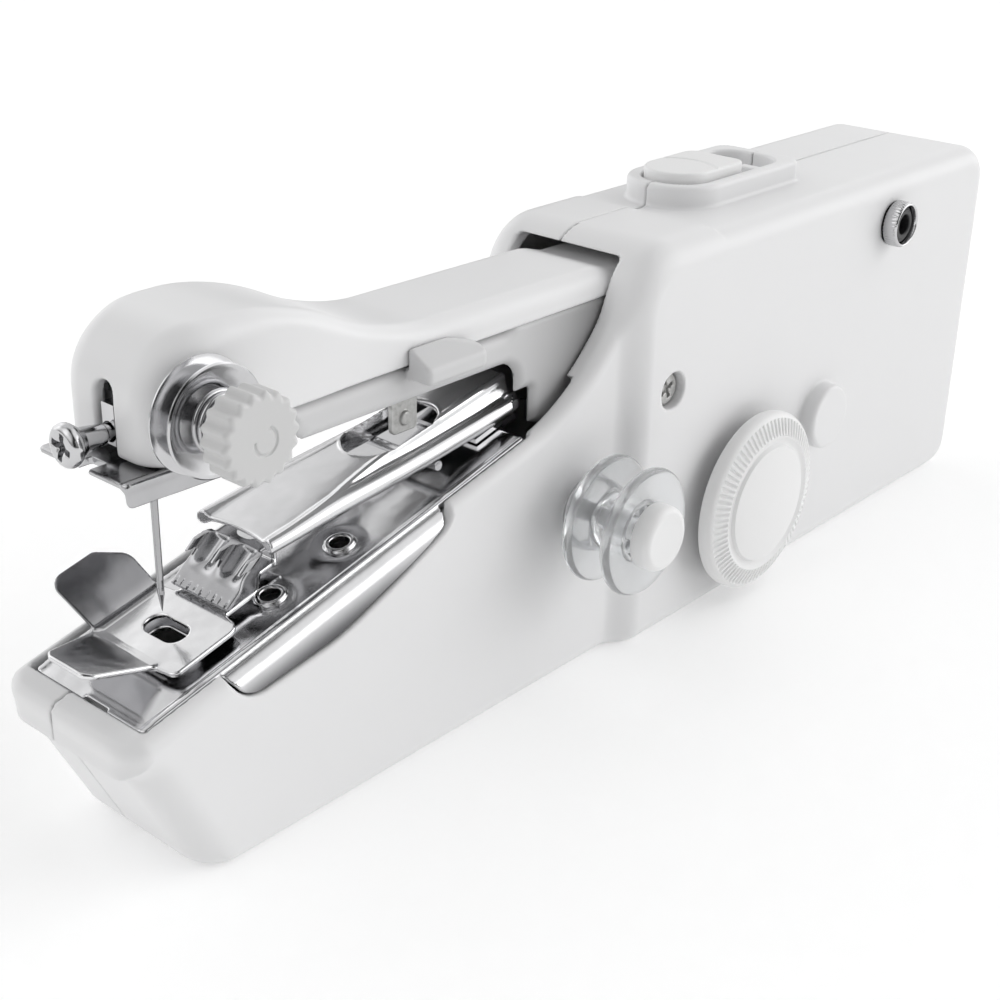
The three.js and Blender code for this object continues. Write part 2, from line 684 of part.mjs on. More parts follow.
function needleScrew() {
  const profile = [
    [0, -101.5],
    [1.7, -101.2],
    [2.9, -100.1],
    [2.9, -99.2],
    [2, -98.7],
    [1.7, -98.3],
    [1.35, -95.2],
    [1.1, -94.9],
    [1.1, -89.6],
    [0, -89.6],
  ];
  const screw = solid(turned(profile, "x", 0, 60.3, 20));
  return cut(screw, box(-103, -100.7, -1.5, 1.5, 60, 60.6), box(-103, -100.7, -0.3, 0.3, 58.8, 61.8));
}
addMetal("needle_screw", needleScrew(), COLOUR.chrome);

function needleBracket() {
  const sheet = solid(prismZ(rectangle(-98.9, -79, -9, 9, 1), 56.4, 57.2));
  const flangeSide = outline([[-98.7, 57], [-98.5, 53.9, 0.6], [-83, 53.6, 1], [-81, 57]]);
  const bent = join(sheet, solid(prismY(flangeSide, -9, -8.2)));
  return cut(bent, rodSolid("z", NEEDLE_X, 0, 1.4, 50, 60, 16), box(-101, -96, -1.6, 1.6, 50, 60));
}
addMetal("needle_bracket", needleBracket(), COLOUR.chrome);

// ---------------------------------------------------------------- thread tension unit
addMetal("tension_post", rod("y", TENSION.x, TENSION.z, 1.3, -21, -5.4, 16));

// Dished washers whose convex middles meet and whose rims flare apart.
function tensionDisc(y, radius, flare) {
  const profile = [
    [1.5, y - 0.45],
    [4.6, y - 0.45],
    [radius, y + flare - 0.4],
    [radius, y + flare],
    [4.6, y],
    [1.5, y],
    [1.5, y - 0.45],
  ];
  return turned(profile, "y", TENSION.x, TENSION.z, 28);
}
addMetal("tension_disc_inner", tensionDisc(-11.5, 7.6, 1.1), COLOUR.chrome);
addMetal("tension_disc_outer", tensionDisc(-12.3, 7.3, -1.1), COLOUR.chrome);
addMetal("tension_spring", coilY(TENSION.x, TENSION.z, 3.9, 0.45, -13.6, -16.4, 2), COLOUR.chrome);

function tensionKnob() {
  const lobes = 18;
  const points = Array.from({ length: lobes * 3 }, (_, i) => {
    const angle = (2 * Math.PI * i) / (lobes * 3);
    const radius = 5.7 + 0.25 * Math.cos(lobes * angle);
    return new THREE.Vector2(TENSION.x + radius * Math.cos(angle), TENSION.z + radius * Math.sin(angle));
  });
  const knob = solid(prismY(new THREE.Shape(points), -22, -17.2));
  const threaded = rodSolid("y", TENSION.x, TENSION.z, 1.5, -21.2, -17, 16);
  const recess = rodSolid("y", TENSION.x, TENSION.z, 4.6, -19.5, -17);
  return cut(knob, threaded, recess);
}
addShell("tension_knob", tensionKnob());

// ---------------------------------------------------------------- drive train
// Spur gear whose tooth points at the angle aim; half a pitch more puts a gap there.
function gear(x, z, teeth, module, y0, y1, aim, bore) {
  const pitch = (teeth * module) / 2;
  const step = (2 * Math.PI) / teeth;
  const flank = [
    [-0.3, -1.25],
    [-0.14, 0.85],
    [0.14, 0.85],
    [0.3, -1.25],
  ];
  const points = [];
  for (let i = 0; i < teeth; i++)
    for (const [across, height] of flank) {
      const angle = aim + step * (i + across * 0.95);
      const radius = pitch + module * height;
      points.push(new THREE.Vector2(x + radius * Math.cos(angle), z + radius * Math.sin(angle)));
    }
  const shape = new THREE.Shape(points);
  if (bore) shape.holes.push(new THREE.Path().absarc(x, z, bore, 0, 2 * Math.PI, true));
  return solid(prismY(shape, y0, y1));
}

const meshRadius = (module, a, b) => (module * (a + b)) / 2;
// Idler axis: the point at the right centre distance from both the crank gear and the motor pinion.
function idlerAxis() {
  const toCrank = meshRadius(SLOW_MODULE, TEETH.crank, TEETH.idlerSmall);
  const toMotor = meshRadius(FAST_MODULE, TEETH.idlerLarge, TEETH.pinion);
  const dx = MOTOR.x - WHEEL.x;
  const dz = MOTOR.z - WHEEL.z;
  const distance = Math.hypot(dx, dz);
  const along = (toCrank ** 2 - toMotor ** 2 + distance ** 2) / (2 * distance);
  const aside = Math.sqrt(toCrank ** 2 - along ** 2);
  return {
    x: WHEEL.x + (along * dx - aside * dz) / distance,
    z: WHEEL.z + (along * dz + aside * dx) / distance,
  };
}
const IDLER = idlerAxis();
const crankToIdler = Math.atan2(IDLER.z - WHEEL.z, IDLER.x - WHEEL.x);
const idlerToMotor = Math.atan2(MOTOR.z - IDLER.z, MOTOR.x - IDLER.x);

addMetal("main_shaft", rod("y", WHEEL.x, WHEEL.z, 1.5, -22.2, 14.8, 16));
function crankGear() {
  const wheel = gear(WHEEL.x, WHEEL.z, TEETH.crank, SLOW_MODULE, -12.2, -9.4, crankToIdler, 1.6);
  const eccentric = cut(
    rodSolid("y", WHEEL.x + ECCENTRIC.dx, WHEEL.z + ECCENTRIC.dz, ECCENTRIC.radius, -9.6, -6.7),
    rodSolid("y", WHEEL.x, WHEEL.z, 1.6, -10, -6),
  );
  const hub = solid(sleeve("y", WHEEL.x, WHEEL.z, 1.6, 3, -14.2, -12, 20));
  return join(wheel, hub, eccentric);
}
addPiece("crank_gear", crankGear(), COLOUR.shell, 0.5);

function idlerGear() {
  const gap = crankToIdler + Math.PI + Math.PI / TEETH.idlerSmall;
  const small = gear(IDLER.x, IDLER.z, TEETH.idlerSmall, SLOW_MODULE, -12.4, -9.4, gap, 1.1);
  const large = gear(IDLER.x, IDLER.z, TEETH.idlerLarge, FAST_MODULE, -14.4, -12.6, idlerToMotor, 1.1);
  const web = solid(sleeve("y", IDLER.x, IDLER.z, 1.1, 2.6, -12.8, -12.2, 20));
  return join(small, large, web);
}
addPiece("idler_gear", idlerGear(), COLOUR.shell, 0.5);
addMetal("idler_pin", rod("y", IDLER.x, IDLER.z, 0.95, -15, -8.9, 16));

function pinion() {
  const gap = idlerToMotor + Math.PI + Math.PI / TEETH.pinion;
  const teeth = gear(MOTOR.x, MOTOR.z, TEETH.pinion, FAST_MODULE, -14.4, -12.6, gap, 0);
  return join(teeth, rodSolid("y", MOTOR.x, MOTOR.z, 1, -13, -9.8, 16));
}
addMetal("motor_pinion", pinion(), COLOUR.brass);

function motor() {
  const can = rodSolid("y", MOTOR.x, MOTOR.z, MOTOR.radius, -8.2, 13.4, 40);
  const flats = box(MOTOR.x - 20, MOTOR.x + 20, -9, 14, MOTOR.z - MOTOR.flat, MOTOR.z + MOTOR.flat);
  const nose = solid(sleeve("y", MOTOR.x, MOTOR.z, 1.3, 3, -9.4, -8, 20));
  const well = rodSolid("y", MOTOR.x, MOTOR.z, 1.3, -10, -6, 16);
  const tags = [-4, 4].map((dx) =>
    box(MOTOR.x + dx - 1, MOTOR.x + dx + 1, 13.2, 14.6, MOTOR.z + 3.6, MOTOR.z + 4.2),
  );
  return join(cut(can.intersect(flats), well), nose, ...tags);
}
addMetal("motor", motor());

for (const [name, y0, y1] of [
  ["main_bush_near", -16.8, -14.6],
  ["main_bush_far", 13, 16.8],
])
  addMetal(name, sleeve("y", WHEEL.x, WHEEL.z, 1.65, 3, y0, y1, 20), COLOUR.brass);

function handwheel() {
  const profile = [
    [0, -19.2],
    [3.4, -19.2],
    [3.4, -20.2],
    [13, -20.2],
    [13, -19.4],
    [16, -19.6],
    [16, -21.6],
    [15.2, -22.3],
    [12.2, -23.4],
    [11.3, -22.9],
    [10.6, -23.6],
    [0, -23.8],
  ];
  const disc = solid(turned(profile.reverse(), "y", WHEEL.x, WHEEL.z, 48));
  const hub = rodSolid("y", WHEEL.x, WHEEL.z, 3.2, -20, -17.4);
  return cut(join(disc, hub), rodSolid("y", WHEEL.x, WHEEL.z, 1.7, -22.5, -17, 16));
}
addShell("handwheel", handwheel());

addMetal("arm_pivot_pin", rod("y", ARM_PIVOT.x, ARM_PIVOT.z, 1.5, -15.6, 15.6, 16));
addMetal("drive_pin", rod("y", DRIVE_PIN.x, DRIVE_PIN.z, 1, -6.6, 3.2, 16));

// The strap's eye stands around the eccentric's centre; the strap lies just beside the eccentric.
function connectingRod() {
  const strap = new THREE.Vector2(WHEEL.x + ECCENTRIC.dx, WHEEL.z + ECCENTRIC.dz);
  const top = new THREE.Vector2(DRIVE_PIN.x, DRIVE_PIN.z);
  const across = top.clone().sub(strap).rotateAround(new THREE.Vector2(), Math.PI / 2).setLength(1.7);
  const corner = (end, side) => end.clone().addScaledVector(across, side);
  const bar = new THREE.Shape([corner(strap, 1), corner(strap, -1), corner(top, -1), corner(top, 1)]);
  const [y0, y1] = [-6.2, -4.2];
  return cut(
    join(
      solid(prismY(bar, y0, y1)),
      rodSolid("y", strap.x, strap.y, ECCENTRIC.radius + 1.9, y0, y1),
      rodSolid("y", top.x, top.y, 2.6, y0, y1),
    ),
    rodSolid("y", strap.x, strap.y, ECCENTRIC.radius + 0.3, -7, -3),
    rodSolid("y", top.x, top.y, 1.2, -7, -3, 16),
  );
}
addPiece("connecting_rod", connectingRod(), COLOUR.shell, 0.5);

// ---------------------------------------------------------------- looper under the bed
addMetal("looper_shaft", rod("x", LOOPER.y, LOOPER.z, 1.2, LOOPER.x + 2.4, 8, 16));
function looperHook() {
  const hook = outline([
    [LOOPER.y - 2.4, LOOPER.z - 2],
    [LOOPER.y + 2.4, LOOPER.z - 2],
    [LOOPER.y + 2.2, LOOPER.z + 5, 1],
    [LOOPER.y - 1, LOOPER.z + 10.5, 2],
    [LOOPER.y - 6.4, LOOPER.z + 10.2],
    [LOOPER.y - 1.8, LOOPER.z + 8.2, 2],
    [LOOPER.y - 2.4, LOOPER.z + 3],
  ]);
  const collar = rodSolid("x", LOOPER.y, LOOPER.z, 2.2, LOOPER.x + 1, LOOPER.x + 2.2, 16);
  return join(solid(prismX(hook, LOOPER.x, LOOPER.x + 1.2)), collar);
}
addMetal("looper_hook", looperHook(), COLOUR.chrome);
for (const [name, x] of [
  ["looper_bearing_front", -70],
  ["looper_bearing_rear", -4],
]) {
  const block = box(x - 2, x + 2, LOOPER.y - 3, LOOPER.y + 3, WALL + GAP, LOOPER.z + 3);
  addPiece(name, cut(block, rodSolid("x", LOOPER.y, LOOPER.z, 1.3, x - 3, x + 3, 16)), COLOUR.black, 0.5);
}

// ---------------------------------------------------------------- bobbin on the near side
function bobbin() {
  const r = BOBBIN.radius;
  const profile = [
    [2, -28.3],
    [r - 0.6, -28.3],
    [r, -27.8],
    [r, -27.2],
    [r - 0.5, -26.8],
    [4.6, -26.6],
    [4.6, -20.9],
    [r - 0.5, -20.7],
    [r, -20.3],
    [r, -19.7],
    [r - 0.6, -19.3],
    [2, -19.3],
    [2, -28.3],
  ];
  return turned(profile, "y", BOBBIN.x, BOBBIN.z, 32);
}
addPiece("bobbin", bobbin(), 0xe6ecef, 0.1);
addMetal("bobbin_spring", coilY(BOBBIN.x, BOBBIN.z, 5.4, 0.35, -15.6, -18.7, 2), COLOUR.chrome);
addMetal("bobbin_pin", rod("y", BOBBIN.x, BOBBIN.z, 1.5, -31, -8, 16));
function bobbinCap() {
  const profile = [[0, -32], [4.4, -32], [5.3, -31.2], [5.3, -28.6], [0, -28.6]];
  return cut(
    solid(turned(profile, "y", BOBBIN.x, BOBBIN.z, 32)),
    rodSolid("y", BOBBIN.x, BOBBIN.z, 1.7, -31.2, -28, 16),
  );
}
addShell("bobbin_cap", bobbinCap());

// ---------------------------------------------------------------- switch
function switchSlider() {
  const plan = outline([
    [20.3, SWITCH.y - 5.9, 5.7],
    [38, SWITCH.y - 5.9],
    [38, SWITCH.y + 5.9],
    [20.3, SWITCH.y + 5.9, 5.7],
  ]);
  const stem = box(28, 33, SWITCH.y - 1.6, SWITCH.y + 1.6, 63.5, 69);
  return join(solid(prismZ(plan, BODY_TOP + 0.8, 72.6, 0, 10)), stem);
}
addShell("switch_slider", switchSlider());
addPiece("switch_body", box(23, 45, SWITCH.y - 4, SWITCH.y + 4, 56, 63), COLOUR.black, 0.5);

// ---------------------------------------------------------------- power jack and batteries
function dcJack() {
  const barrel = rodSolid("y", JACK.x, JACK.z, 3.3, -19.6, -9, 24);
  return cut(barrel, rodSolid("y", JACK.x, JACK.z, 1.8, -20.5, -11, 16));
}
addPiece("dc_jack", dcJack(), COLOUR.black, 0.4);
addMetal("jack_nut", sleeve("y", JACK.x, JACK.z, 3.5, 4.2, -20.2, -17.3, 32), COLOUR.chrome);

CELL.columns.forEach((x, column) =>
  [-1, 1].forEach((side, row) => {
    const up = (column + row) % 2 === 0;
    const { radius, length, bottom } = CELL;
    const can = [[0, 0], [radius, 0], [radius, length - 2]];
    const profile = [...can, [2.6, length - 2], [2.6, length], [0, length]];
    const cell = turned(profile, "z", 0, 0, 20);
    if (!up) cell.rotateX(Math.PI).translate(0, 0, length);
    cell.translate(x, side * CELL.side, bottom);
    addPiece(`battery_cell_${1 + column * 2 + row}`, cell, 0x3f5f4a, 0.4);
  }),
);

const CONTACT = { low: 3.2, high: CELL.bottom + CELL.length + GAP, thick: 0.5 };
const contact = (x0, x1, y0, y1, z) => box(x0, x1, y0, y1, z, z + CONTACT.thick);
addMetal("contact_bottom_near", contact(74, 99.5, -12, -3, CONTACT.low + 0.4), COLOUR.brass);
addMetal("contact_bottom_far", contact(74, 99.5, 3, 12, CONTACT.low + 0.4), COLOUR.brass);
addMetal("contact_top", contact(90, 98, -12, 12, CONTACT.high), COLOUR.brass);

function batteryDoor() {
  const outside = REAR_X - 0.4;
  const inside = REAR_X - WALL - 0.6;
  const side = outline([
    [DOOR.x0 + GAP, 0.4],
    [outside, 0.4, 4.6],
    [outside, DOOR.lip],
    [inside, DOOR.lip],
    [inside, DOOR.thick + 0.4],
    [DOOR.x0 + GAP, DOOR.thick + 0.4],
  ]);
  return solid(prismY(side, -DOOR.half, DOOR.half));
}
addShell("battery_door", batteryDoor());

export default machine;
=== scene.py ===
"""Looks of the handheld sewing machine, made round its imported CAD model.

Each visible piece is a distance field or a turned profile, in millimetres until it is meshed. X runs along the
machine with the needle at the low end, Y to its far side, and Z up from the plane it stands on.
"""

import functools
import json
import math

import bmesh
import bpy
import numpy as np
from mathutils import Matrix, Vector


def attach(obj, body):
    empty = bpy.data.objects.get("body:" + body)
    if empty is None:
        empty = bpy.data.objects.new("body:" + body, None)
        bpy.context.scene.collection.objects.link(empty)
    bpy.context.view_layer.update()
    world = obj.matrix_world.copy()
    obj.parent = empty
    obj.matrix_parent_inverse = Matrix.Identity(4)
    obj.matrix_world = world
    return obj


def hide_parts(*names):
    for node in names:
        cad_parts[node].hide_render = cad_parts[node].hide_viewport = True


MM = 0.001
SEAM_Y = 2.6
REAR_X = 105
BODY_HALF, BASE_HALF, BODY_TOP = 17.0, 14.3, 67.2
BASE_END_X = -8.5  # the narrow front part of the casing ends here
BED_X, BED_Z, BED_SLOPE = -101.2, 25.1, 0.25
BED_ANGLE = math.atan(BED_SLOPE)
BED_COS, BED_SIN = math.cos(BED_ANGLE), math.sin(BED_ANGLE)
ARM_HALF, NOSE_HALF = 9.5, 9.8
WHEEL_X, WHEEL_Z = 22.8, 18.6
BOBBIN_X, BOBBIN_Z = -19.5, 29.5
TENSION_X, TENSION_Z = -88.4, 63.8
JACK_X, JACK_Z = 67.6, 58.5
BOSS_X, BOSS_Z = 47.5, 26.5
SWITCH_Y = 2.3
NEEDLE_X = -88.4
CLAMP_SCREW_Z = 60.3
LEVER_X, LEVER_Z, LEVER_SLOPE = -76.0, 40.4, 0.208

# Screws that hold the casing halves together: name, x, z and the side that the head is on.
SCREWS = [("front", 1.1, 43.7, -1), ("bed", -95, 14, 1), ("middle", 60, 42, 1), ("rear", 66, 6, 1)]
SCREW_SINK = 1.2

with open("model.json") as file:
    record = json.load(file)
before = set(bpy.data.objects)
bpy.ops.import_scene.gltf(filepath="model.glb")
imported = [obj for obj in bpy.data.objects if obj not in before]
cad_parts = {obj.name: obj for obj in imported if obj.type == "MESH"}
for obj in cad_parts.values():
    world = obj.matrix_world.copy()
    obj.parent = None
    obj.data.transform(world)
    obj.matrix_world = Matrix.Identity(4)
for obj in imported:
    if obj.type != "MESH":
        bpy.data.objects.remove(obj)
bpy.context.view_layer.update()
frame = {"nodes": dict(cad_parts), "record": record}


# ---------------- distance fields
def round_and(a, b, r):
    """Both at once, with the edge between them rounded by r."""
    return np.minimum(np.maximum(a, b), -r) + np.hypot(np.maximum(a + r, 0), np.maximum(b + r, 0))


def round_or(a, b, r):
    """Either one, with a fillet of radius r where they meet."""
    return -round_and(-a, -b, r)


def both(*fields):
    """Inside every one, with sharp edges."""
    return functools.reduce(np.maximum, fields)


def either(*fields):
    """Inside any one, with sharp creases."""
    return functools.reduce(np.minimum, fields)


def carve(a, b, r):
    """a with b cut out of it, and the cut's edge rounded by r."""
    return round_and(a, -b, r)


def rounded_rect(u, v, low, high, radii):
    """Rectangle with one radius for each corner: low-high, high-high, high-low and low-low."""
    cu, cv = (low[0] + high[0]) / 2, (low[1] + high[1]) / 2
    upper, lower = np.where(u < cu, radii[0], radii[1]), np.where(u < cu, radii[3], radii[2])
    r = np.where(v > cv, upper, lower)
    qu = np.abs(u - cu) - (high[0] - low[0]) / 2 + r
    qv = np.abs(v - cv) - (high[1] - low[1]) / 2 + r
    return np.minimum(np.maximum(qu, qv), 0) + np.hypot(np.maximum(qu, 0), np.maximum(qv, 0)) - r


def slab(t, low, high):
    """Between two flat faces."""
    return np.abs(t - (low + high) / 2) - (high - low) / 2


def block(x, y, z, low, high, r):
    """Box between two corners, with rounded edges."""
    d = round_and(slab(x, low[0], high[0]), slab(y, low[1], high[1]), r)
    return round_and(d, slab(z, low[2], high[2]), r)


def drum(a, b, t, centre, radius, low, high, r=0.0):
    """Round bar along t about a centre in (a, b)."""
    return round_and(np.hypot(a - centre[0], b - centre[1]) - radius, slab(t, low, high), r)


def line_side(u, v, start, end):
    """Signed distance to the line from start to end, positive on its left."""
    du, dv = end[0] - start[0], end[1] - start[1]
    return ((v - start[1]) * du - (u - start[0]) * dv) / math.hypot(du, dv)


def convex(u, v, corners, r):
    """Inside of a convex outline given clockwise, with rounded corners."""
    d = line_side(u, v, corners[-1], corners[0])
    for start, end in zip(corners, corners[1:]):
        d = round_and(d, line_side(u, v, start, end), r)
    return d


def polyline(u, v, points):
    """Distance to a chain of straight stretches."""
    best = np.full_like(u, 1e9)
    for (u0, v0), (u1, v1) in zip(points, points[1:]):
        du, dv = u1 - u0, v1 - v0
        t = np.clip(((u - u0) * du + (v - v0) * dv) / (du * du + dv * dv), 0, 1)
        best = np.minimum(best, np.hypot(u - u0 - t * du, v - v0 - t * dv))
    return best


def smooth_step(t, low, high):
    """0 up to low, 1 from high on, and an even curve between."""
    s = np.clip((t - low) / (high - low), 0, 1)
    return s * s * (3 - 2 * s)


# ---------------- meshing
BLOCK = 6  # grid points along one edge of a block
POINTS_AT_ONCE = 600000


def sample(field, low, step, counts):
    """The field on a grid, worked out exactly only in blocks that the surface may cross."""
    blocks = [math.ceil(n / BLOCK) for n in counts]
    centres = [low[i] + step * BLOCK * (np.arange(blocks[i]) + 0.5) for i in range(3)]
    bx, by, bz = np.meshgrid(*centres, indexing="ij")
    coarse = field(bx.ravel(), by.ravel(), bz.ravel()).reshape(blocks)
    near = np.abs(coarse) < step * BLOCK * 0.95 + 0.6  # a block's half diagonal, and a margin

    def spread(a):
        fine = a.repeat(BLOCK, 0).repeat(BLOCK, 1).repeat(BLOCK, 2)
        return fine[: counts[0], : counts[1], : counts[2]]

    values, mask = spread(coarse).astype(np.float32), spread(near)
    i, j, k = np.nonzero(mask)
    for part in np.array_split(np.arange(len(i)), max(1, len(i) // POINTS_AT_ONCE)):
        x, y, z = (low[n] + step * index[part] for n, index in enumerate((i, j, k)))
        values[i[part], j[part], k[part]] = field(x, y, z)
    return values


def gradient(field, points, h):
    """Slope of the field at each point, by differences over 2 h."""
    x, y, z = points.T
    return np.stack(
        [
            field(x + h, y, z) - field(x - h, y, z),
            field(x, y + h, z) - field(x, y - h, z),
            field(x, y, z + h) - field(x, y, z - h),
        ],
        1,
    ) / (2 * h)


def surface(field, low, high, step):
    """Closed quad mesh of the field's zero surface, with each vertex then moved onto the surface."""
    low = np.array(low, float) - 2.5 * step
    counts = [math.ceil((h - l) / step) + 4 for l, h in zip(low, high)]
    values = sample(field, low, step, counts)
    inside = values < 0
    cells = tuple(n - 1 for n in counts)
    total, hits = np.zeros(cells + (3,), np.float32), np.zeros(cells, np.int8)
    crossings = []
    for axis in range(3):
        first = [slice(None)] * 3
        second = [slice(None)] * 3
        first[axis], second[axis] = slice(0, -1), slice(1, None)
        a, b = values[tuple(first)], values[tuple(second)]
        at = np.argwhere(inside[tuple(first)] != inside[tuple(second)])
        va, vb = a[tuple(at.T)], b[tuple(at.T)]
        where = at.astype(np.float32)
        where[:, axis] += va / (va - vb)
        others = [n for n in range(3) if n != axis]
        for du in (0, 1):
            for dv in (0, 1):
                cell = at.copy()
                cell[:, others[0]] -= du
                cell[:, others[1]] -= dv
                np.add.at(total, tuple(cell.T), where)
                np.add.at(hits, tuple(cell.T), 1)
        crossings.append((axis, others, at, va < 0))
    filled = np.argwhere(hits > 0)
    index = np.full(cells, -1, np.int64)
    index[tuple(filled.T)] = np.arange(len(filled))
    points = total[tuple(filled.T)] / hits[tuple(filled.T)][:, None] * step + low
    faces = []
    for axis, others, at, leaving in crossings:
        ring = []
        for du, dv in ((0, 0), (1, 0), (1, 1), (0, 1)):
            cell = at.copy()
            cell[:, others[0]] -= du
            cell[:, others[1]] -= dv
            ring.append(index[tuple(cell.T)])
        quad = np.stack(ring, 1)
        flip = leaving if axis == 1 else ~leaving
        quad[flip] = quad[flip][:, ::-1]
        faces.append(quad)
    faces = np.concatenate(faces)
    points = points.astype(float)
    for _ in range(3):
        slope = gradient(field, points, 0.05 * step)
        d = field(*points.T)
        move = slope * (d / np.maximum((slope**2).sum(1), 0.2))[:, None]
        length = np.linalg.norm(move, axis=1, keepdims=True)
        points -= move * np.minimum(1, 0.35 * step / np.maximum(length, 1e-9))
    normals = gradient(field, points, 0.3 * step)
    normals /= np.maximum(np.linalg.norm(normals, axis=1, keepdims=True), 1e-9)
    return points, faces, normals


def quad_mesh(name, points, faces, normals=None):
    """Smooth-shaded mesh of four-sided faces, from points in millimetres."""
    mesh = bpy.data.meshes.new(name)
    mesh.vertices.add(len(points))
    mesh.vertices.foreach_set("co", (np.asarray(points) * MM).astype(np.float32).ravel())
    mesh.loops.add(faces.size)
    mesh.loops.foreach_set("vertex_index", faces.astype(np.int32).ravel())
    mesh.polygons.add(len(faces))
    mesh.polygons.foreach_set("loop_start", np.arange(0, faces.size, faces.shape[1], dtype=np.int32))
    mesh.polygons.foreach_set("use_smooth", np.ones(len(faces), bool))
    mesh.update(calc_edges=True)
    mesh.validate()
    if normals is not None and len(mesh.vertices) == len(normals):
        mesh.normals_split_custom_set_from_vertices(normals.tolist())
    return mesh


def add_piece(name, body, slot, mesh, cad_node, material=None):
    """An object that rides on a body and stands for a CAD node, in its slot's material or one of its own."""
    piece = bpy.data.objects.new(name, mesh)
    bpy.context.scene.collection.objects.link(piece)
    mesh.materials.append(material or MATERIALS[slot])
    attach(piece, body)
    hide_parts(cad_node)


def moulded(name, body, slot, field, low, high, step, cad_node, material=None):
    """A piece meshed from its field between two corners, with cells of one step."""
    mesh = quad_mesh(name, *surface(field, low, high, step))
    add_piece(name, body, slot, mesh, cad_node, material)


def spun_mesh(profile, centre, segments, ripple=None):
    """Turned mesh about a line along Y through centre (x, z), from a profile of (radius, y).

    ripple(angles, radius, depth) gives what is added to the radius and to y.
    """
    angles = np.linspace(0, 2 * math.pi, segments, endpoint=False)
    profile = np.array(profile, float)
    rows = len(profile)
    radius = np.repeat(profile[:, 0:1], segments, 1)
    depth = np.repeat(profile[:, 1:2], segments, 1)
    if ripple is not None:
        dr, dy = ripple(angles[None, :], radius, depth)
        radius, depth = radius + dr, depth + dy
    points = np.stack([centre[0] + radius * np.cos(angles), depth, centre[1] + radius * np.sin(angles)], 2)
    i, j = np.meshgrid(np.arange(rows), np.arange(segments), indexing="ij")
    here, after = i * segments + j, i * segments + (j + 1) % segments
    up = (i + 1) % rows
    above, above_after = up * segments + j, up * segments + (j + 1) % segments
    faces = np.stack([here, after, above_after, above], 2).reshape(-1, 4)
    return points.reshape(-1, 3), faces


def spun(name, body, slot, profile, centre, cad_node, segments=96, ripple=None, smooth=35):
    """A turned piece. Its profile is a closed ring of (radius, y), or starts and ends on the axis."""
    on_axis = profile[0][0] == 0
    least_radius = 0.02
    ring = [(max(r, least_radius), y) for r, y in profile]
    points, faces = spun_mesh(ring, centre, segments, ripple)
    if on_axis:
        faces = faces[: (len(ring) - 1) * segments]
        caps = [np.arange(segments)[::-1], (len(ring) - 1) * segments + np.arange(segments)]
        mesh = bpy.data.meshes.new(name)
        mesh.from_pydata((points * MM).tolist(), [], faces.tolist() + [c.tolist() for c in caps])
    else:
        mesh = quad_mesh(name, points, faces)
    mesh.update()
    fix_normals(mesh, smooth)
    add_piece(name, body, slot, mesh, cad_node)


def fix_normals(mesh, smooth):
    """Faces turned outward, and edges sharper than smooth degrees left sharp."""
    bm = bmesh.new()
    bm.from_mesh(mesh)
    bmesh.ops.recalc_face_normals(bm, faces=bm.faces)
    bm.to_mesh(mesh)
    bm.free()
    mesh.polygons.foreach_set("use_smooth", np.ones(len(mesh.polygons), bool))
    mesh.set_sharp_from_angle(angle=math.radians(smooth))


def arc(cu, cv, r, start, end, steps):
    """Points of a round stretch, by angle in degrees."""
    return [
        (cu + r * math.cos(math.radians(t)), cv + r * math.sin(math.radians(t)))
        for t in np.linspace(start, end, steps + 1)
    ]


# ---------------- materials
def node(tree, kind, **values):
    """A shader node whose keywords are its inputs or else its settings."""
    made = tree.nodes.new("ShaderNode" + kind)
    for key, value in values.items():
        if key in made.inputs:
            made.inputs[key].default_value = value
        else:
            setattr(made, key, value)
    return made


def base_material(name, rough, metallic=0.0, **sockets):
    """A material with its shader's plain values set, and object coordinates to place its patterns by."""
    material = bpy.data.materials.new(name)
    material.use_nodes = True
    tree = material.node_tree
    shader = tree.nodes["Principled BSDF"]
    for key, value in {"Roughness": rough, "Metallic": metallic, **sockets}.items():
        shader.inputs[key].default_value = value
    return material, tree, shader, node(tree, "TexCoord")


RAMP_START, RAMP_END = 0.3, 0.7


def ramp_between(tree, source, low, high, socket):
    """Feeds a socket with colours or values that go from low to high over a pattern's middle range."""
    ramp = node(tree, "ValToRGB")
    for end, position, colour in zip(ramp.color_ramp.elements, (RAMP_START, RAMP_END), (low, high)):
        end.position, end.color = position, (*colour, 1)
    tree.links.new(source, ramp.inputs["Fac"])
    tree.links.new(ramp.outputs["Color"], socket)


def grey(value):
    return (value, value, value)


def noise(tree, place, scale, detail=3.0, stretch=(1, 1, 1)):
    """Cloud pattern, finer along an axis where stretch is larger."""
    mapping = node(tree, "Mapping", Scale=stretch)
    tree.links.new(place.outputs["Object"], mapping.inputs["Vector"])
    made = node(tree, "TexNoise", Scale=scale, Detail=detail, Roughness=0.55)
    tree.links.new(mapping.outputs["Vector"], made.inputs["Vector"])
    return made.outputs["Fac"]


def bump(tree, shader, height, strength, distance, before=None):
    """Relief from a height pattern, on top of an earlier relief if one is given."""
    made = node(tree, "Bump", Strength=strength, Distance=distance)
    tree.links.new(height, made.inputs["Height"])
    if before is not None:
        tree.links.new(before, made.inputs["Normal"])
    tree.links.new(made.outputs["Normal"], shader.inputs["Normal"])
    return made.outputs["Normal"]


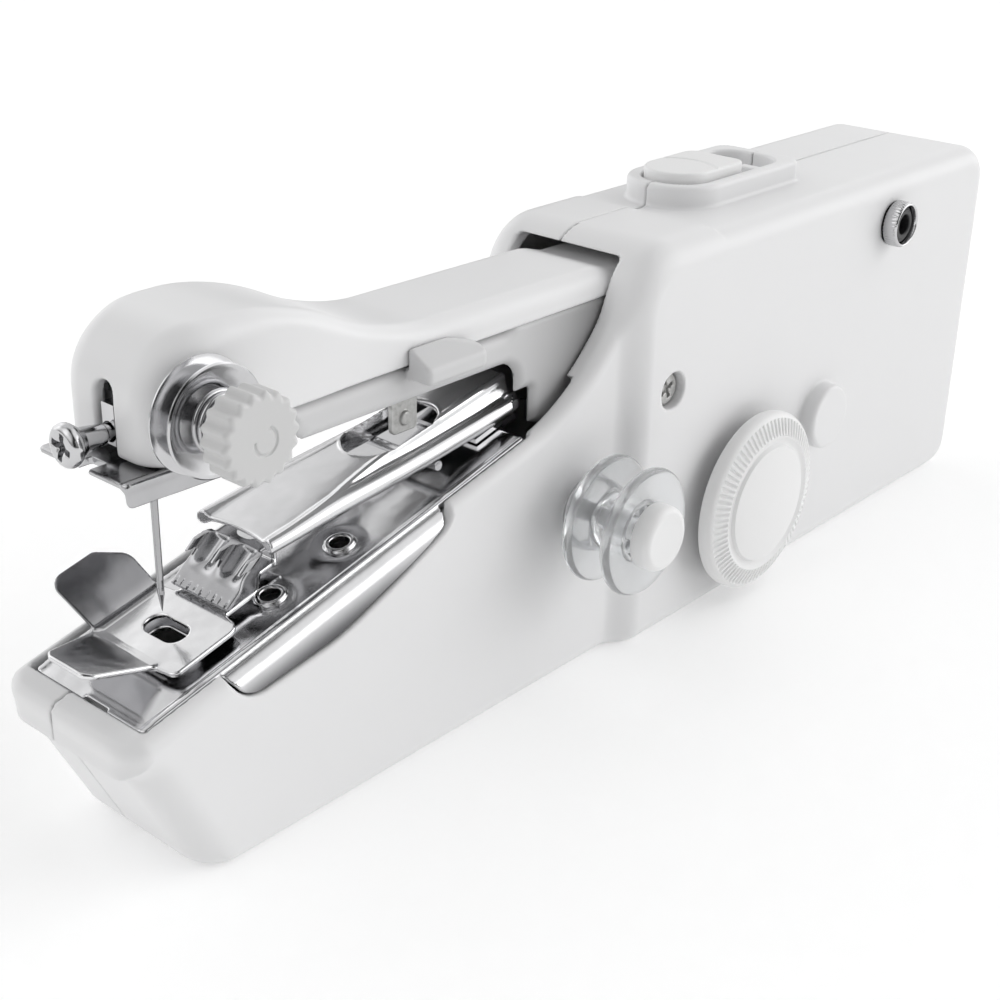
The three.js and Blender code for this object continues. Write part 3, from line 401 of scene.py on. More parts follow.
def moulded_plastic(name, colour, rough=0.33, tint=0.006):
    """Injection-moulded plastic: faint flow clouding, uneven polish, hairline scuffs and fine orange peel."""
    material, tree, shader, place = base_material(name, rough, IOR=1.5)
    dark = tuple(c - tint for c in colour)
    ramp_between(tree, noise(tree, place, 45, 1), dark, colour, shader.inputs["Base Color"])
    mixed = node(tree, "Mix", data_type="FLOAT")
    mixed.inputs[0].default_value = 0.1
    tree.links.new(noise(tree, place, 120, 2), mixed.inputs[2])
    tree.links.new(noise(tree, place, 60, 8, (1, 1, 14)), mixed.inputs[3])
    ramp_between(tree, mixed.outputs[0], grey(rough - 0.03), grey(rough + 0.05), shader.inputs["Roughness"])
    bump(tree, shader, noise(tree, place, 900, 2), 0.02, 0.0002)
    return material


def polished_metal(name, colour, rough, stretch=(1, 1, 1), wave=0.12, brush=0.05, fine=2600):
    """Plated metal: soft ripples left by pressing, fine polishing lines along one way, and patchy haze."""
    material, tree, shader, place = base_material(name, rough, 1.0)
    dark = tuple(c * 0.9 for c in colour)
    ramp_between(tree, noise(tree, place, 160, 6), dark, colour, shader.inputs["Base Color"])
    lines = noise(tree, place, fine, 3, stretch)
    ramp_between(tree, lines, grey(rough * 0.6), grey(rough * 1.7), shader.inputs["Roughness"])
    ripple = bump(tree, shader, noise(tree, place, 140, 2), wave, 0.0006)
    bump(tree, shader, lines, brush, 0.0001, ripple)
    return material


def satin_steel(name, colour, rough, stretch):
    """Duller steel or brass with coarser drawing lines."""
    return polished_metal(name, colour, rough, stretch, wave=0.08, brush=0.12, fine=1500)


def clear_plastic(name):
    """Clear moulded plastic with faint flow lines; thin enough to see through."""
    material, tree, shader, place = base_material(name, 0.08, IOR=1.46, **{"Transmission Weight": 0.86})
    flow = noise(tree, place, 110, 4, (1, 3, 1))
    ramp_between(tree, flow, grey(0.05), grey(0.16), shader.inputs["Roughness"])
    ramp_between(tree, flow, (0.92, 0.935, 0.945), (0.97, 0.975, 0.98), shader.inputs["Base Color"])
    bump(tree, shader, flow, 0.15, 0.0003)
    return material


def graded(material, direction, start, end, colour):
    """Base colour that turns to another along a direction, between two distances in millimetres."""
    tree = material.node_tree
    shader = tree.nodes["Principled BSDF"]
    plain = shader.inputs["Base Color"].links[0].from_socket
    place = node(tree, "TexCoord")
    along = node(tree, "VectorMath", operation="DOT_PRODUCT")
    along.inputs[1].default_value = direction
    tree.links.new(place.outputs["Object"], along.inputs[0])
    limits = {"From Min": start * MM, "From Max": end * MM}
    spread = node(tree, "MapRange", interpolation_type="SMOOTHSTEP", **limits)
    tree.links.new(along.outputs["Value"], spread.inputs["Value"])
    mixed = node(tree, "Mix", data_type="RGBA")
    mixed.inputs[7].default_value = (*colour, 1)
    tree.links.new(spread.outputs["Result"], mixed.inputs[0])
    tree.links.new(plain, mixed.inputs[6])
    tree.links.new(mixed.outputs[2], shader.inputs["Base Color"])


MATERIALS = {
    "shell_plastic": moulded_plastic("white_shell_plastic", (0.80, 0.80, 0.805)),
    "arm_plastic": moulded_plastic("white_arm_plastic", (0.80, 0.80, 0.805)),
    "knob_plastic": moulded_plastic("white_knob_plastic", (0.83, 0.83, 0.83), rough=0.34),
    "door_plastic": moulded_plastic("white_door_plastic", (0.79, 0.79, 0.795), rough=0.36),
    "black_plastic": moulded_plastic("black_plastic", (0.03, 0.03, 0.032), rough=0.4, tint=0.008),
    "gear_nylon": moulded_plastic("natural_nylon", (0.78, 0.76, 0.70), rough=0.45, tint=0.03),
    "cell_wrap": moulded_plastic("cell_wrap", (0.10, 0.24, 0.16), rough=0.34, tint=0.02),
    "bobbin_clear": clear_plastic("clear_bobbin_plastic"),
    "plate_chrome": polished_metal("plate_chrome", (0.68, 0.68, 0.69), 0.07, (1, 14, 14), wave=0.22),
    "foot_chrome": polished_metal("foot_chrome", (0.82, 0.82, 0.83), 0.08, (1, 10, 10), wave=0.2),
    "lever_chrome": polished_metal("lever_chrome", (0.74, 0.74, 0.75), 0.155, (1, 12, 12), wave=0.14),
    "tension_chrome": polished_metal("turned_chrome", (0.62, 0.62, 0.63), 0.10, (6, 1, 6)),
    "spring_steel": polished_metal("spring_wire", (0.52, 0.52, 0.53), 0.16, wave=0.06),
    "needle_steel": polished_metal("needle_steel", (0.45, 0.45, 0.46), 0.16, (12, 12, 1), wave=0.05),
    "zinc_steel": satin_steel("zinc_plate", (0.55, 0.55, 0.54), 0.48, (1, 1, 1)),
    "shaft_steel": satin_steel("ground_steel", (0.62, 0.62, 0.63), 0.15, (6, 1, 6)),
    "motor_steel": satin_steel("motor_can_steel", (0.58, 0.58, 0.59), 0.16, (6, 1, 6)),
    "brass_parts": satin_steel("machined_brass", (0.80, 0.60, 0.28), 0.15, (6, 1, 6)),
}
MATERIALS["jack_chrome"] = MATERIALS["tension_chrome"]
LOWER_ARM_PAINTED_SHADE = moulded_plastic("grey_arm_plastic_painted_shade", (0.62, 0.62, 0.625))
TENSION_KNOB = moulded_plastic("grey_knob_plastic", (0.60, 0.60, 0.60), rough=0.34)
CLAW = polished_metal("claw_chrome", (0.46, 0.46, 0.47), 0.10, (1, 10, 10), wave=0.2)
BRACKET = satin_steel("bracket_steel", (0.50, 0.50, 0.51), 0.15, (1, 1, 12))

# Painted shade and painted dark reflections, laid into three base colours as darkening along one direction.
BED_LEVEL = BED_Z * BED_COS - BED_X * BED_SIN
BED_UP = (-BED_SIN, 0, BED_COS)
# Painted shade: the lower arm darkens towards the casing, standing for the shadow where it runs in.
graded(LOWER_ARM_PAINTED_SHADE, (1, 0, 0), -36, -4, (0.24, 0.24, 0.242))
# Painted shade and reflection: the plate's rolled edge darkens downwards, standing for the dark it reflects
# under the rim.
graded(MATERIALS["plate_chrome"], BED_UP, BED_LEVEL - 1.6, BED_LEVEL - 5.5, (0.13, 0.13, 0.135))
# Painted reflection: the foot's guide wing is darker, standing for the dark surroundings its chrome reflects.
graded(MATERIALS["foot_chrome"], (0, 1, 0), 6.5, 9.5, (0.26, 0.26, 0.27))

# Every CAD node takes its slot's material and finely rounded edges. Pieces made below stand for some of them.
for part in frame["record"]["subparts"]:
    shown = frame["nodes"][part["node"]]
    shown.data.materials.clear()
    shown.data.materials.append(MATERIALS[part["material_slot"]])
    edges = shown.modifiers.new("edge_radius", "BEVEL")
    edges.width, edges.segments, edges.limit_method = 0.12 * MM, 2, "ANGLE"
    edges.angle_limit = math.radians(35)
    edges.harden_normals = True


# ---------------- casing
def bed_height(x):
    """Height of the bed's upper face."""
    return BED_Z + BED_SLOPE * (x - BED_X)


def shoulder_window(x, z, inset=0.0):
    """Opening in the near rim above the plate's rounded shoulder."""
    corners = [(-89.3, 50), (-47.3, 50), (-47.3, 38), (-48.6, 35.6), (-54, 32.8)]
    corners += [(-69.5, 26.6), (-84.5, 24.1), (-87, 25.1), (-89.3, 28.2)]
    return convex(x, z, corners, 0.8) + inset


def casing_outside(x, y, z):
    """The body, the narrower base with its undercut chin, and the bosses and ring on them."""
    side = rounded_rect(x, z, (BASE_END_X, -60), (REAR_X, BODY_TOP), (10, 7, 0, 0))
    body = round_and(side, abs(y) - BODY_HALF, 4)
    chin = line_side(x, z, (-91.1, -6), (-103.2, 18.8))
    rim = round_and(-REAR_X - x, 19.2 - z, 0.6)
    front = round_or(chin, rim, 0.4)
    bed = round_and(front, abs(y) - BASE_HALF, 5)
    slope = (z - bed_height(x) - 0.7) / math.hypot(1, BED_SLOPE)
    shoulder = line_side(x, z, (-13.4, 47.8), (-5.2, BODY_TOP))
    top = round_and(round_or(slope, shoulder, 13), z - BODY_TOP, 5)
    bed = round_and(bed, top, 2.6)
    bed = both(bed, x - 12)
    outside = round_or(body, bed, 2.4)
    outside = round_and(outside, round_and(-z, x - REAR_X, 7), 2.6)
    boss = drum(x, z, y, (BOSS_X, BOSS_Z), 6, -20, -15, 0.8)
    outside = round_or(outside, boss, 0.5)
    seat = drum(x, z, y, (BOBBIN_X, BOBBIN_Z), 3.2, -15.2, -12, 0.3)
    outside = round_or(outside, seat, 0.3)
    ring = rounded_rect(x, y, (17.5, SWITCH_Y - 8.7), (52, SWITCH_Y + 8.7), (8.6, 3, 3, 8.6))
    ring = round_and(ring, slab(z, 60, 71), 0.8)
    return round_or(outside, ring, 0.7)


def casing_cavity(x, y, z):
    """Inside of the walls, less the screw posts and the wall before the cells."""
    side = rounded_rect(x, z, (-6.7, 1.8), (103.2, 65.4), (8.2, 5.2, 3, 1))
    body = round_and(side, abs(y) - 15.2, 2.2)
    chin = line_side(x, z, (-91.6, 1.8), (-101.4, 20))
    bed = round_and(round_and(chin, -101.4 - x, 1), abs(y) - 12, 2.5)
    roof = round_or((z - bed_height(x) + 3) / 1.03, line_side(x, z, (-12, 45), (-4, 60)), 8)
    bed = round_and(bed, both(roof, slab(z, 1.8, 65.2), x - 2), 1)
    hollow = either(body, bed)
    for _, sx, sz, side in SCREWS:
        hollow = both(hollow, 3.9 - np.hypot(x - sx, z - sz))
    wall = block(x, y, z, (69.3, -16, 1), (70.8, 16, 52), 0.2)
    return both(hollow, -wall)


def casing_cuts(x, y, z):
    """Plate's seat, the well below it, the arm's mouth, the switch's recess and the battery door's opening."""
    seat = round_and(slab(x, -101.5, -28.7), abs(y) - 12.1, 0.6)
    seat = both(seat, bed_height(x) - 1.6 - z)
    well = block(x, y, z, (-99, -10.6, 15), (-28.7, 10.6, 80), 0.6)
    mouth = block(x, y, z, (-30, -9.8, 20), (-1.5, 10.9, 65.6), 0.9)
    relief = block(x, y, z, (-28.7, -11.2, 30), (-9.6, 5, 49.3), 0.4)
    window = both(shoulder_window(x, z), slab(y, -18, -10.5))
    recess = rounded_rect(x, y, (19.9, SWITCH_Y - 6.3), (49.2, SWITCH_Y + 6.3), (6.2, 4.5, 4.5, 6.2))
    bar = block(x, y, z, (44.2, SWITCH_Y - 4.4, 60), (46.4, SWITCH_Y + 4.4, 69.6), 0.3)
    recess = both(recess, 67.6 - z, -bar)
    slot = block(x, y, z, (26, SWITCH_Y - 2.3, 60), (41, SWITCH_Y + 2.3, 70), 0.3)
    door = block(x, y, z, (70.5, -12.8, -3), (110, 12.8, 2.2), 0.3)
    lip = block(x, y, z, (102.3, -12.8, -3), (110, 12.8, 5.5), 0.3)
    return either(seat, well, mouth, relief, window, recess, slot, door, lip)


def side_face(x):
    """How far the casing's side stands from its middle."""
    return BASE_HALF if x < BASE_END_X else BODY_HALF


def casing_bores(x, y, z):
    """Holes for the shafts, the jack and the screws."""
    bores = [
        drum(x, z, y, (WHEEL_X, WHEEL_Z), 3.3, -25, 25),
        drum(x, z, y, (JACK_X, JACK_Z), 3.6, -25, -10),
        drum(x, z, y, (BOBBIN_X, BOBBIN_Z), 1.8, -25, -5),
    ]
    for _, sx, sz, side in SCREWS:
        face = side_face(sx)
        low, high = sorted((side * (face + 4), side * (face - 2.6)))
        bores.append(drum(x, z, y, (sx, sz), 3.1, low, high))
        low, high = sorted((side * face, side * (face - 25)))
        bores.append(drum(x, z, y, (sx, sz), 1.5, low, high))
    return either(*bores)


def casing(x, y, z):
    shell = carve(casing_outside(x, y, z), casing_cuts(x, y, z), 0.55)
    shell = carve(shell, casing_bores(x, y, z), 0.25)
    return both(shell, -casing_cavity(x, y, z))


def near_half(x, y, z):
    return round_and(casing(x, y, z), y - SEAM_Y + 0.05, 0.2)


def far_half(x, y, z):
    return round_and(casing(x, y, z), SEAM_Y + 0.05 - y, 0.2)


CASING_STEP = 0.5
moulded(
    "right_shell", "casing", "shell_plastic", near_half,
    (-105, -20, 0), (105, 2.6, 71), CASING_STEP, "right_casing",
)
moulded(
    "left_shell", "casing", "shell_plastic", far_half,
    (-105, 2.6, 0), (105, 17, 71), CASING_STEP, "left_casing",
)


# ---------------- arm
def arm_top(x, z):
    """Upper outline of the arm and nose."""
    nose = line_side(x, z, (-70.5, 73.9), (-56, 65))
    bar = z - 65 + 0.0121 * (x + 56) + 1.3 * smooth_step(x, -10, -3)
    return round_and(z - 74, round_or(nose, bar, 5), 5)


def arm_cover(x, y, z):
    """Hollow upper half of the arm, which widens into the nose."""
    at_nose = 1 - smooth_step(x, -72, -58)
    side = abs(y) - ARM_HALF - (NOSE_HALF - ARM_HALF) * at_nose
    profile = round_and(arm_top(x, z), -94.8 - x, 9.5)
    at_front = 1 - smooth_step(x, -91, -82)
    cover = round_and(profile, side, 3 + 2 * at_front)
    lower = round_or(both(57.5 - z, x + 73.3), 59.8 - z, 0.3)
    cover = round_and(cover, lower, 0.7)
    cover = both(cover, x - 10)
    inside = round_and(arm_top(x, z) + 1.7, -93 - x, 7.5)
    inside = round_and(inside, abs(y) - 7.6, 2)
    slot = rounded_rect(y, z, (-1.8, 40), (1.8, 67), (1.75, 1.75, 0, 0))
    slot = both(slot, slab(x, -99, -90.8))
    post = drum(x, z, y, (TENSION_X, TENSION_Z), 1.6, -12, -5)
    cover = carve(cover, slot, 0.6)
    return both(cover, -inside, -post)


moulded(
    "arm_upper_shell", "arm", "arm_plastic", arm_cover,
    (-94.8, -9.8, 57.5), (10, 9.8, 74), 0.42, "arm_cover",
)


def arm_frame(x, y, z):
    """Lower half of the arm: bar, skirt inside the casing, pivot, tail for the rod, and the finger tab."""
    bar = convex(x, z, [(-73, 59.5), (30, 59.5), (30, 54.4), (-71, 54.4), (-73, 56.4)], 0.6)
    step = convex(x, z, [(-28.7, 59.5), (8, 59.5), (8, 49.3), (-28.7, 49.3)], 0.4)
    skirt_corners = [(-25.4, 59.5), (8, 59.5), (19.5, 44), (19.5, 33.6), (4, 33.6), (-25.4, 43.6)]
    skirt = convex(x, z, skirt_corners, 0.5)
    bar = both(bar, line_side(x, z, (8, 59.5), (19.5, 44)))
    profile = round_or(bar, step, 3)
    profile = round_or(profile, skirt, 0.4)
    frame_shell = round_and(profile, abs(y) - ARM_HALF, 1.9)
    inside = round_and(z - 58.3, abs(y) - 8.3, 0.5)
    inside = both(inside, line_side(x, z, (4, 58.3), (10, 46)), x - 10)
    screw_gap = drum(x, z, y, (1.1, 43.7), 6.6, -20, 20)
    hub = drum(x, z, y, (15, 38), 4.4, -ARM_HALF, ARM_HALF, 0.3)
    tail = block(x, y, z, (14, -3.5, 36.4), (35.4, 3.5, 43.4), 1.2)
    frame_shell = either(both(frame_shell, -inside, -screw_gap), hub, tail)
    tab = block(x, y, z, (-52, -13.8, 57.9), (-40, -8.8, 63), 0.9)
    tab = round_and(tab, line_side(y, z, (-14, 60.2), (-9, 63.2)), 0.5)
    tab = round_and(tab, line_side(x, z, (-46, 63), (-39.6, 61)), 0.5)
    tab = both(tab, -block(x, y, z, (-60, -9.72, 59.6), (-30, 0, 70), 0))
    frame_shell = round_or(frame_shell, tab, 0.3)
    bores = either(drum(x, z, y, (15, 38), 1.8, -20, 20), drum(x, z, y, (33, 40), 1.1, -20, 20))
    return both(frame_shell, -bores)


moulded(
    "arm_lower_shell", "arm", "arm_plastic", arm_frame,
    (-73, -13.8, 33.6), (35.4, 9.5, 63), 0.42, "arm_frame", LOWER_ARM_PAINTED_SHADE,
)


# ---------------- sewing bed
def bed_frame(x, z):
    """Distance up the slope from the plate's front edge, and height square off the plate."""
    dx, dz = x - BED_X, z - BED_Z
    return dx * BED_COS + dz * BED_SIN, dz * BED_COS - dx * BED_SIN


def along_bed(x):
    """Distance up the slope of the point on the bed above x."""
    return (x - BED_X) / BED_COS


EYELETS = [(along_bed(x), y) for x in (-74.3, -61.3) for y in (-5.2, 5.2)]


def needle_plate(x, y, z):
    """Sheet with four dimpled eyelets, the needle's slot and a rolled shoulder on the near side."""
    u, w = bed_frame(x, z)
    top = w + 0.03
    for eu, ev in EYELETS:
        top = top + 0.32 * (1 - smooth_step(np.hypot(u - eu, y - ev), 1.4, 4.6))
    top = top - 0.16 * smooth_step(abs(y), 10.2, 10.8) + 0.12 * (1 - smooth_step(u, 1.0, 2.2))
    sheet = round_and(rounded_rect(u, y, (0.05, -11.6), (along_bed(-29), 11.6), (0.8,) * 4), top, 0.3)
    sheet = both(sheet, -0.9 - w)
    for eu, ev in EYELETS:
        away = np.hypot(u - eu, y - ev)
        ring = np.hypot(away - 1.85, w + 0.1) - 0.42
        sheet = both(round_or(sheet, ring, 0.25), 1.45 - away)
    slot_u = along_bed(NEEDLE_X + 0.3)
    slot = rounded_rect(u, y, (slot_u - 2.2, -3.4), (slot_u + 2.2, 3.4), (1.7,) * 4)
    notch = rounded_rect(u, y, (-3, -3.8), (0.6, 1.0), (0.3,) * 4)
    sheet = carve(sheet, either(slot, notch), 0.2)
    roll = rounded_rect(y, w, (-13.9, -30), (30, -0.2), (2.9, 2, 2, 2))
    roll = both(abs(roll + 0.45) - 0.45, y + 11.3)
    ends = round_and(shoulder_window(x, z, 0.35), -7.4 - w, 0.3)
    skirt = round_and(roll, ends, 0.3)
    return round_or(sheet, skirt, 0.2)


moulded(
    "stitch_plate", "casing", "plate_chrome", needle_plate,
    (-101.2, -14, 23.9), (-28.7, 11.7, 43.2), 0.3, "needle_plate",
)


# ---------------- presser lever, foot and claw
def lever_top(x):
    """Height of the lever's upper face."""
    return LEVER_Z + LEVER_SLOPE * (x - LEVER_X)


FLANGE_X = [-76, -66, -55.5, -45.2, -33.9, -26.5]
FLANGE_Z = [39.1, 40.1, 41.1, 42.2, 43.8, 45]


def presser_lever(x, y, z):
    """Pressed channel: flat shelf, sloping web and a rolled bead along each side, with a rimmed window."""
    side = abs(y)
    top = lever_top(x) - 0.45
    roll = 1.05 + 0.45 * smooth_step(x, -76, -60)
    low = np.interp(x, FLANGE_X, FLANGE_Z)
    roll_y, roll_z = 7.85 - roll, low + roll - 0.1
    narrow = smooth_step(x, -74, -50)
    shelf = 7.0 - 2.6 * narrow
    valley = np.maximum(roll_z + 0.1, top - 3.2)
    u0, v0, u1, v1 = shelf, top, 5.9 - 0.25 * narrow, np.minimum(valley, top - 0.02)
    du, dv = u1 - u0, v1 - v0
    length = du * du + dv * dv
    t = np.clip(((side - u0) * du + (z - v0) * dv) / np.maximum(length, 1e-6), 0, 1)
    web = np.hypot(side - u0 - t * du, z - v0 - t * dv)
    flat = np.hypot(np.maximum(side - shelf, 0), z - top)
    sheet = round_or(web - 0.4, flat - 0.4, 0.5)
    bead = np.hypot(side - roll_y, z - roll_z) - roll
    lever = round_or(sheet, bead, 0.35)
    lever = round_and(lever, x + 25.5 + 0.10 * side, 0.4)
    nose = -x - 75.9 + 0.020 * (7.5**2 - y**2)
    lever = round_and(lever, nose, 0.3)
    window = rounded_rect(x, y, (-54, -4.85), (-38, 4.85), (4.85,) * 4)
    lever = carve(lever, window, 0.15)
    rim = np.hypot(window - 0.25, z - top - 0.2) - 0.28
    rim = both(rim, side - 4.9)
    lever = round_or(lever, both(rim, -window), 0.15)
    link_bore = drum(x, z, y, (-44, 42.2), 0.85, -12, 12)
    hinge_bore = drum(x, z, y, (-26.5, 46.6), 1.0, -12, 12)
    return both(lever, -either(link_bore, hinge_bore))


moulded(
    "foot_lever", "presser", "lever_chrome", presser_lever,
    (-76, -7.9, 38.9), (-25.4, 7.9, 50.2), 0.26, "presser_lever",
)


def arced(corners):
    """Outline points with the corners that carry a radius rounded off."""
    out = []
    count = len(corners)
    for i, corner in enumerate(corners):
        here = np.array(corner[:2], float)
        if len(corner) < 3:
            out.append(here)
            continue
        back = np.array(corners[i - 1][:2], float) - here
        ahead = np.array(corners[(i + 1) % count][:2], float) - here
        back, ahead = back / np.linalg.norm(back), ahead / np.linalg.norm(ahead)
        turn = math.pi - math.acos(float(np.clip(back @ ahead, -1, 1)))
        reach = corner[2] * math.tan(turn / 2)
        middle = (back + ahead) / np.linalg.norm(back + ahead)
        centre = here + middle * corner[2] / math.cos(turn / 2)
        start, end = here + back * reach - centre, here + ahead * reach - centre
        for t in np.linspace(0, 1, 7):
            mixed = start * (1 - t) + end * t
            out.append(centre + mixed / np.linalg.norm(mixed) * corner[2])
    return np.array(out)


def polygon(u, v, corners):
    """Signed distance to a closed outline of straight sides."""
    best = np.full_like(u, 1e9)
    sign = np.ones_like(u)
    for (u0, v0), (u1, v1) in zip(corners, np.roll(corners, -1, axis=0)):
        du, dv = u1 - u0, v1 - v0
        wu, wv = u - u0, v - v0
        t = np.clip((wu * du + wv * dv) / max(du * du + dv * dv, 1e-12), 0, 1)
        best = np.minimum(best, np.hypot(wu - t * du, wv - t * dv))
        above, below, left = v >= v0, v < v1, du * wv > dv * wu
        crossing = (above & below & left) | (~above & ~below & ~left)
        sign = np.where(crossing, -sign, sign)
    return sign * best


FOOT_TOP = 1.94
SOLE_CORNERS = [
    (-93.5, -4.8), (-93.1, -8.6, 1.2), (-82.2, -8.6, 2.0), (-81.6, -5, 0.6), (-76, -5, 1.2),
    (-73, -2.2, 0.8), (-70.2, -2.2), (-70.2, 2.2), (-73, 2.2, 0.8),
    (-76, 5, 1.2), (-81.6, 5, 0.6), (-82.0, 8.8, 0.8), (-93.5, 8.8),
]
SOLE = arced([(along_bed(x), *rest) for x, *rest in SOLE_CORNERS])
TOE_TIP = [(-103.3, 4.4, 1.2), (-104.2, 3, 1.0), (-104.2, -3.6, 1.2), (-102.9, -4.8, 1.5)]
TOE = arced([(-93.0, -4.8), (-93.0, 8.8), *TOE_TIP])
TAB = arced([(0.5, -0.5), (11.6, -0.5), (11.0, 6, 2.6), (6.8, 8.9, 1.8), (-0.7, 8.9, 1.8)])
TAB_LEAN = math.radians(50)


def presser_foot(x, y, z):
    """Sole with the needle's slot, upturned toe, leaning guide wing and the neck up to the lever."""
    u, w = bed_frame(x, z)
    sole = round_and(polygon(u, y, SOLE), slab(w, FOOT_TOP - 0.85, FOOT_TOP - 0.05), 0.28)
    top = bed_height(-93.7) + FOOT_TOP
    ramp = line_side(x, z, (-104.2, 31.85), (-93.2, top - 0.02))
    toe = round_and(polygon(x, y, TOE), abs(ramp + 0.42) - 0.38, 0.28)
    foot = round_or(sole, toe, 0.6)
    tu, tv, tw = u - along_bed(-93.5), y - 8.55, w - (FOOT_TOP - 0.35)
    tab_v = tv * math.cos(TAB_LEAN) + tw * math.sin(TAB_LEAN)
    tab_w = tw * math.cos(TAB_LEAN) - tv * math.sin(TAB_LEAN)
    tab = round_and(polygon(tu, tab_v, TAB), slab(tab_w, 0.02, 0.72), 0.25)
    foot = round_or(foot, tab, 0.7)
    neck = bed_height(-70.2) + 1.2
    bend, end = lever_top(-70.6) - 1.55, lever_top(-64.6) - 1.5
    bent = polyline(x, z, [(-70.6, neck), (-70.6, bend), (-64.6, end)])
    foot = round_or(foot, round_and(bent - 0.38, abs(y) - 2.2, 0.25), 0.4)
    slot_u = along_bed(-87.6)
    slot = rounded_rect(u, y, (slot_u - 1.9, -3.7), (slot_u + 1.9, 3.7), (1.88,) * 4)
    slot = both(slot, slab(w, 0, 3))
    return carve(foot, slot, 0.25)


moulded(
    "sewing_foot", "presser", "foot_chrome", presser_foot,
    (-104.2, -8.6, 28.1), (-64.5, 14.4, 41.7), 0.2, "presser_foot",
)


def feed_claw(x, y, z):
    """Bar under the lever, bent down into a fluted face with a row of fine teeth."""
    top = lever_top(x) - 1.8
    low, high = (-82.4, 32.8), (-75.4, lever_top(-75.4) - 1.8)
    run = math.hypot(high[0] - low[0], high[1] - low[1])
    up = ((high[0] - low[0]) / run, (high[1] - low[1]) / run)
    s = (x - low[0]) * up[0] + (z - low[1]) * up[1]
    w = (z - low[1]) * up[0] - (x - low[0]) * up[1]
    fade = smooth_step(s, 2.6, 5.2)
    wave = 0.9 * (0.5 - 0.5 * np.cos(2 * math.pi * (y - 5.4) / 5.55))
    w = w - 0.15 + fade * (wave - 0.35)
    teeth = 0.2 * (1 - smooth_step(s, 1.0, 1.5)) * (abs(np.mod(y + 0.65, 1.3) - 0.65) < 0.12)
    face = round_and(abs(w + 0.35 + 0.5 * teeth) - 0.35, slab(s, 0.0, run), 0.2)
    face = round_and(face, abs(y) - 5.9 + 0.5 * fade, 0.22)
    notch = abs(np.mod(y + 1.3, 2.6) - 1.3) - 0.16
    face = both(face, -both(notch, s - 0.5))
    for at in (-5.3, 0.2, 5.5):
        fin = round_and(abs(y - at) - 0.38, abs(w - 0.35) - 0.62, 0.25)
        fin = both(fin, 4.6 - s + 1.6 * (0.9 - w), s - run)
        face = round_or(face, fin, 0.35)
    bar = round_and(abs(z - top + 0.3) - 0.3, slab(x, -75.6, -57.5), 0.2)
    bar = round_and(bar, abs(y) - 4.5, 0.2)
    window = rounded_rect(x, y, (-74.4, -2.9), (-60, 2.9), (2.8,) * 4)
    claw = round_or(face, both(bar, -window), 0.2)
    return both(claw, z - top - 0.05, -x - 82.35)


moulded(
    "cloth_claw", "feed_claw", "foot_chrome", feed_claw,
    (-82.4, -6, 32.3), (-57.4, 6, 41.9), 0.17, "feed_claw", CLAW,
)


def feed_strip(x, y, z):
    """Zinc strip with a rivet, hanging from the arm."""
    side = rounded_rect(x, z, (-49.7, 47.4), (-44.5, 60), (0.4, 0.4, 0.9, 0.9))
    strip = round_and(both(side, z - 58), slab(y, -4.2, -3.4), 0.18)
    rivet = round_and(np.hypot(x + 47.1, z - 49.6) - 1.1, slab(y, -4.7, -3.6), 0.35)
    return round_or(strip, rivet, 0.15)


moulded(
    "zinc_strip", "arm", "zinc_steel", feed_strip,
    (-49.7, -4.7, 47.4), (-44.5, -3.4, 58), 0.17, "feed_strip",
)


# ---------------- needle parts
def needle(x, y, z):
    """Shank, tapered blade with its thread groove and eye, and the point."""
    away = np.hypot(x - NEEDLE_X, y)
    radius = np.interp(z, [32.8, 35.6, 49, 51.2, 66], [0.02, 0.46, 0.5, 0.78, 0.79])
    body = (away - radius) * 0.95
    body = round_and(body, z - 66, 0.2)
    groove = both(np.hypot(x - NEEDLE_X + 0.55, y) - 0.22, slab(z, 36.5, 49))
    body = both(body, -groove)
    eye = both(abs(x - NEEDLE_X) - 0.17, 0.5 * (abs(z - 36.9) - 0.75))
    eye = both(eye, abs(y) - 1)
    return both(body, -eye)


moulded("thread_needle", "arm", "needle_steel", needle, (-89.2, -0.8, 32.8), (-87.6, 0.8, 66), 0.11, "needle")


def bracket(x, y, z):
    """Folded sheet under the nose, with its near flange turned down and a pressed rib."""
    sheet = rounded_rect(x, y, (-98.8, -8.9), (-79.1, 8.9), (0.9,) * 4)
    sheet = round_and(sheet, slab(z, 56.45, 57.15), 0.25)
    drop = convex(x, z, [(-98.7, 57.15), (-80.8, 57.15), (-82.6, 53.7), (-98.4, 54.0)], 0.7)
    drop = round_and(drop, slab(y, -8.9, -8.2), 0.25)
    bent = round_or(sheet, drop, 0.7)
    rib = rounded_rect(x, y, (-98.0, -6.2), (-80, 7.6), (0.8,) * 4)
    rib = round_and(rib, slab(z, 56.1, 56.7), 0.2)
    bent = round_or(bent, rib, 0.2)
    bore = drum(x, y, z, (NEEDLE_X, 0), 1.3, 50, 60)
    slot = block(x, y, z, (-101, -1.6, 50), (-96, 1.6, 60), 0.4)
    return both(bent, -either(bore, slot))


moulded(
    "nose_bracket", "arm", "lever_chrome", bracket,
    (-98.9, -9, 53.6), (-79, 9, 57.2), 0.24, "needle_bracket", BRACKET,
)


def set_screw(x, y, z):
    """Clamp screw: domed cross head, tapered neck and shank."""
    across, above = y, z - CLAMP_SCREW_Z
    away = np.hypot(across, above)
    head = round_and(away - 2.87, slab(x, -101.35, -99.2), 1.0)
    taper = np.interp(x, [-99.2, -98.4, -95.2], [2.3, 1.75, 1.3])
    neck = round_and(away - taper, slab(x, -99.5, -95.0), 0.3)
    shank = round_and(away - 1.05, slab(x, -96, -89.6), 0.1)
    screw = round_or(round_or(head, neck, 0.3), shank, 0.1)
    one, other = abs(across + 0.25 * above) - 0.45, abs(above - 0.25 * across) - 0.45
    arms = both(either(one, other), away - 1.85)
    recess = either(both(arms, x + 100.1), np.hypot(away, x + 102.5) - 1.6)
    return carve(screw, recess, 0.18)


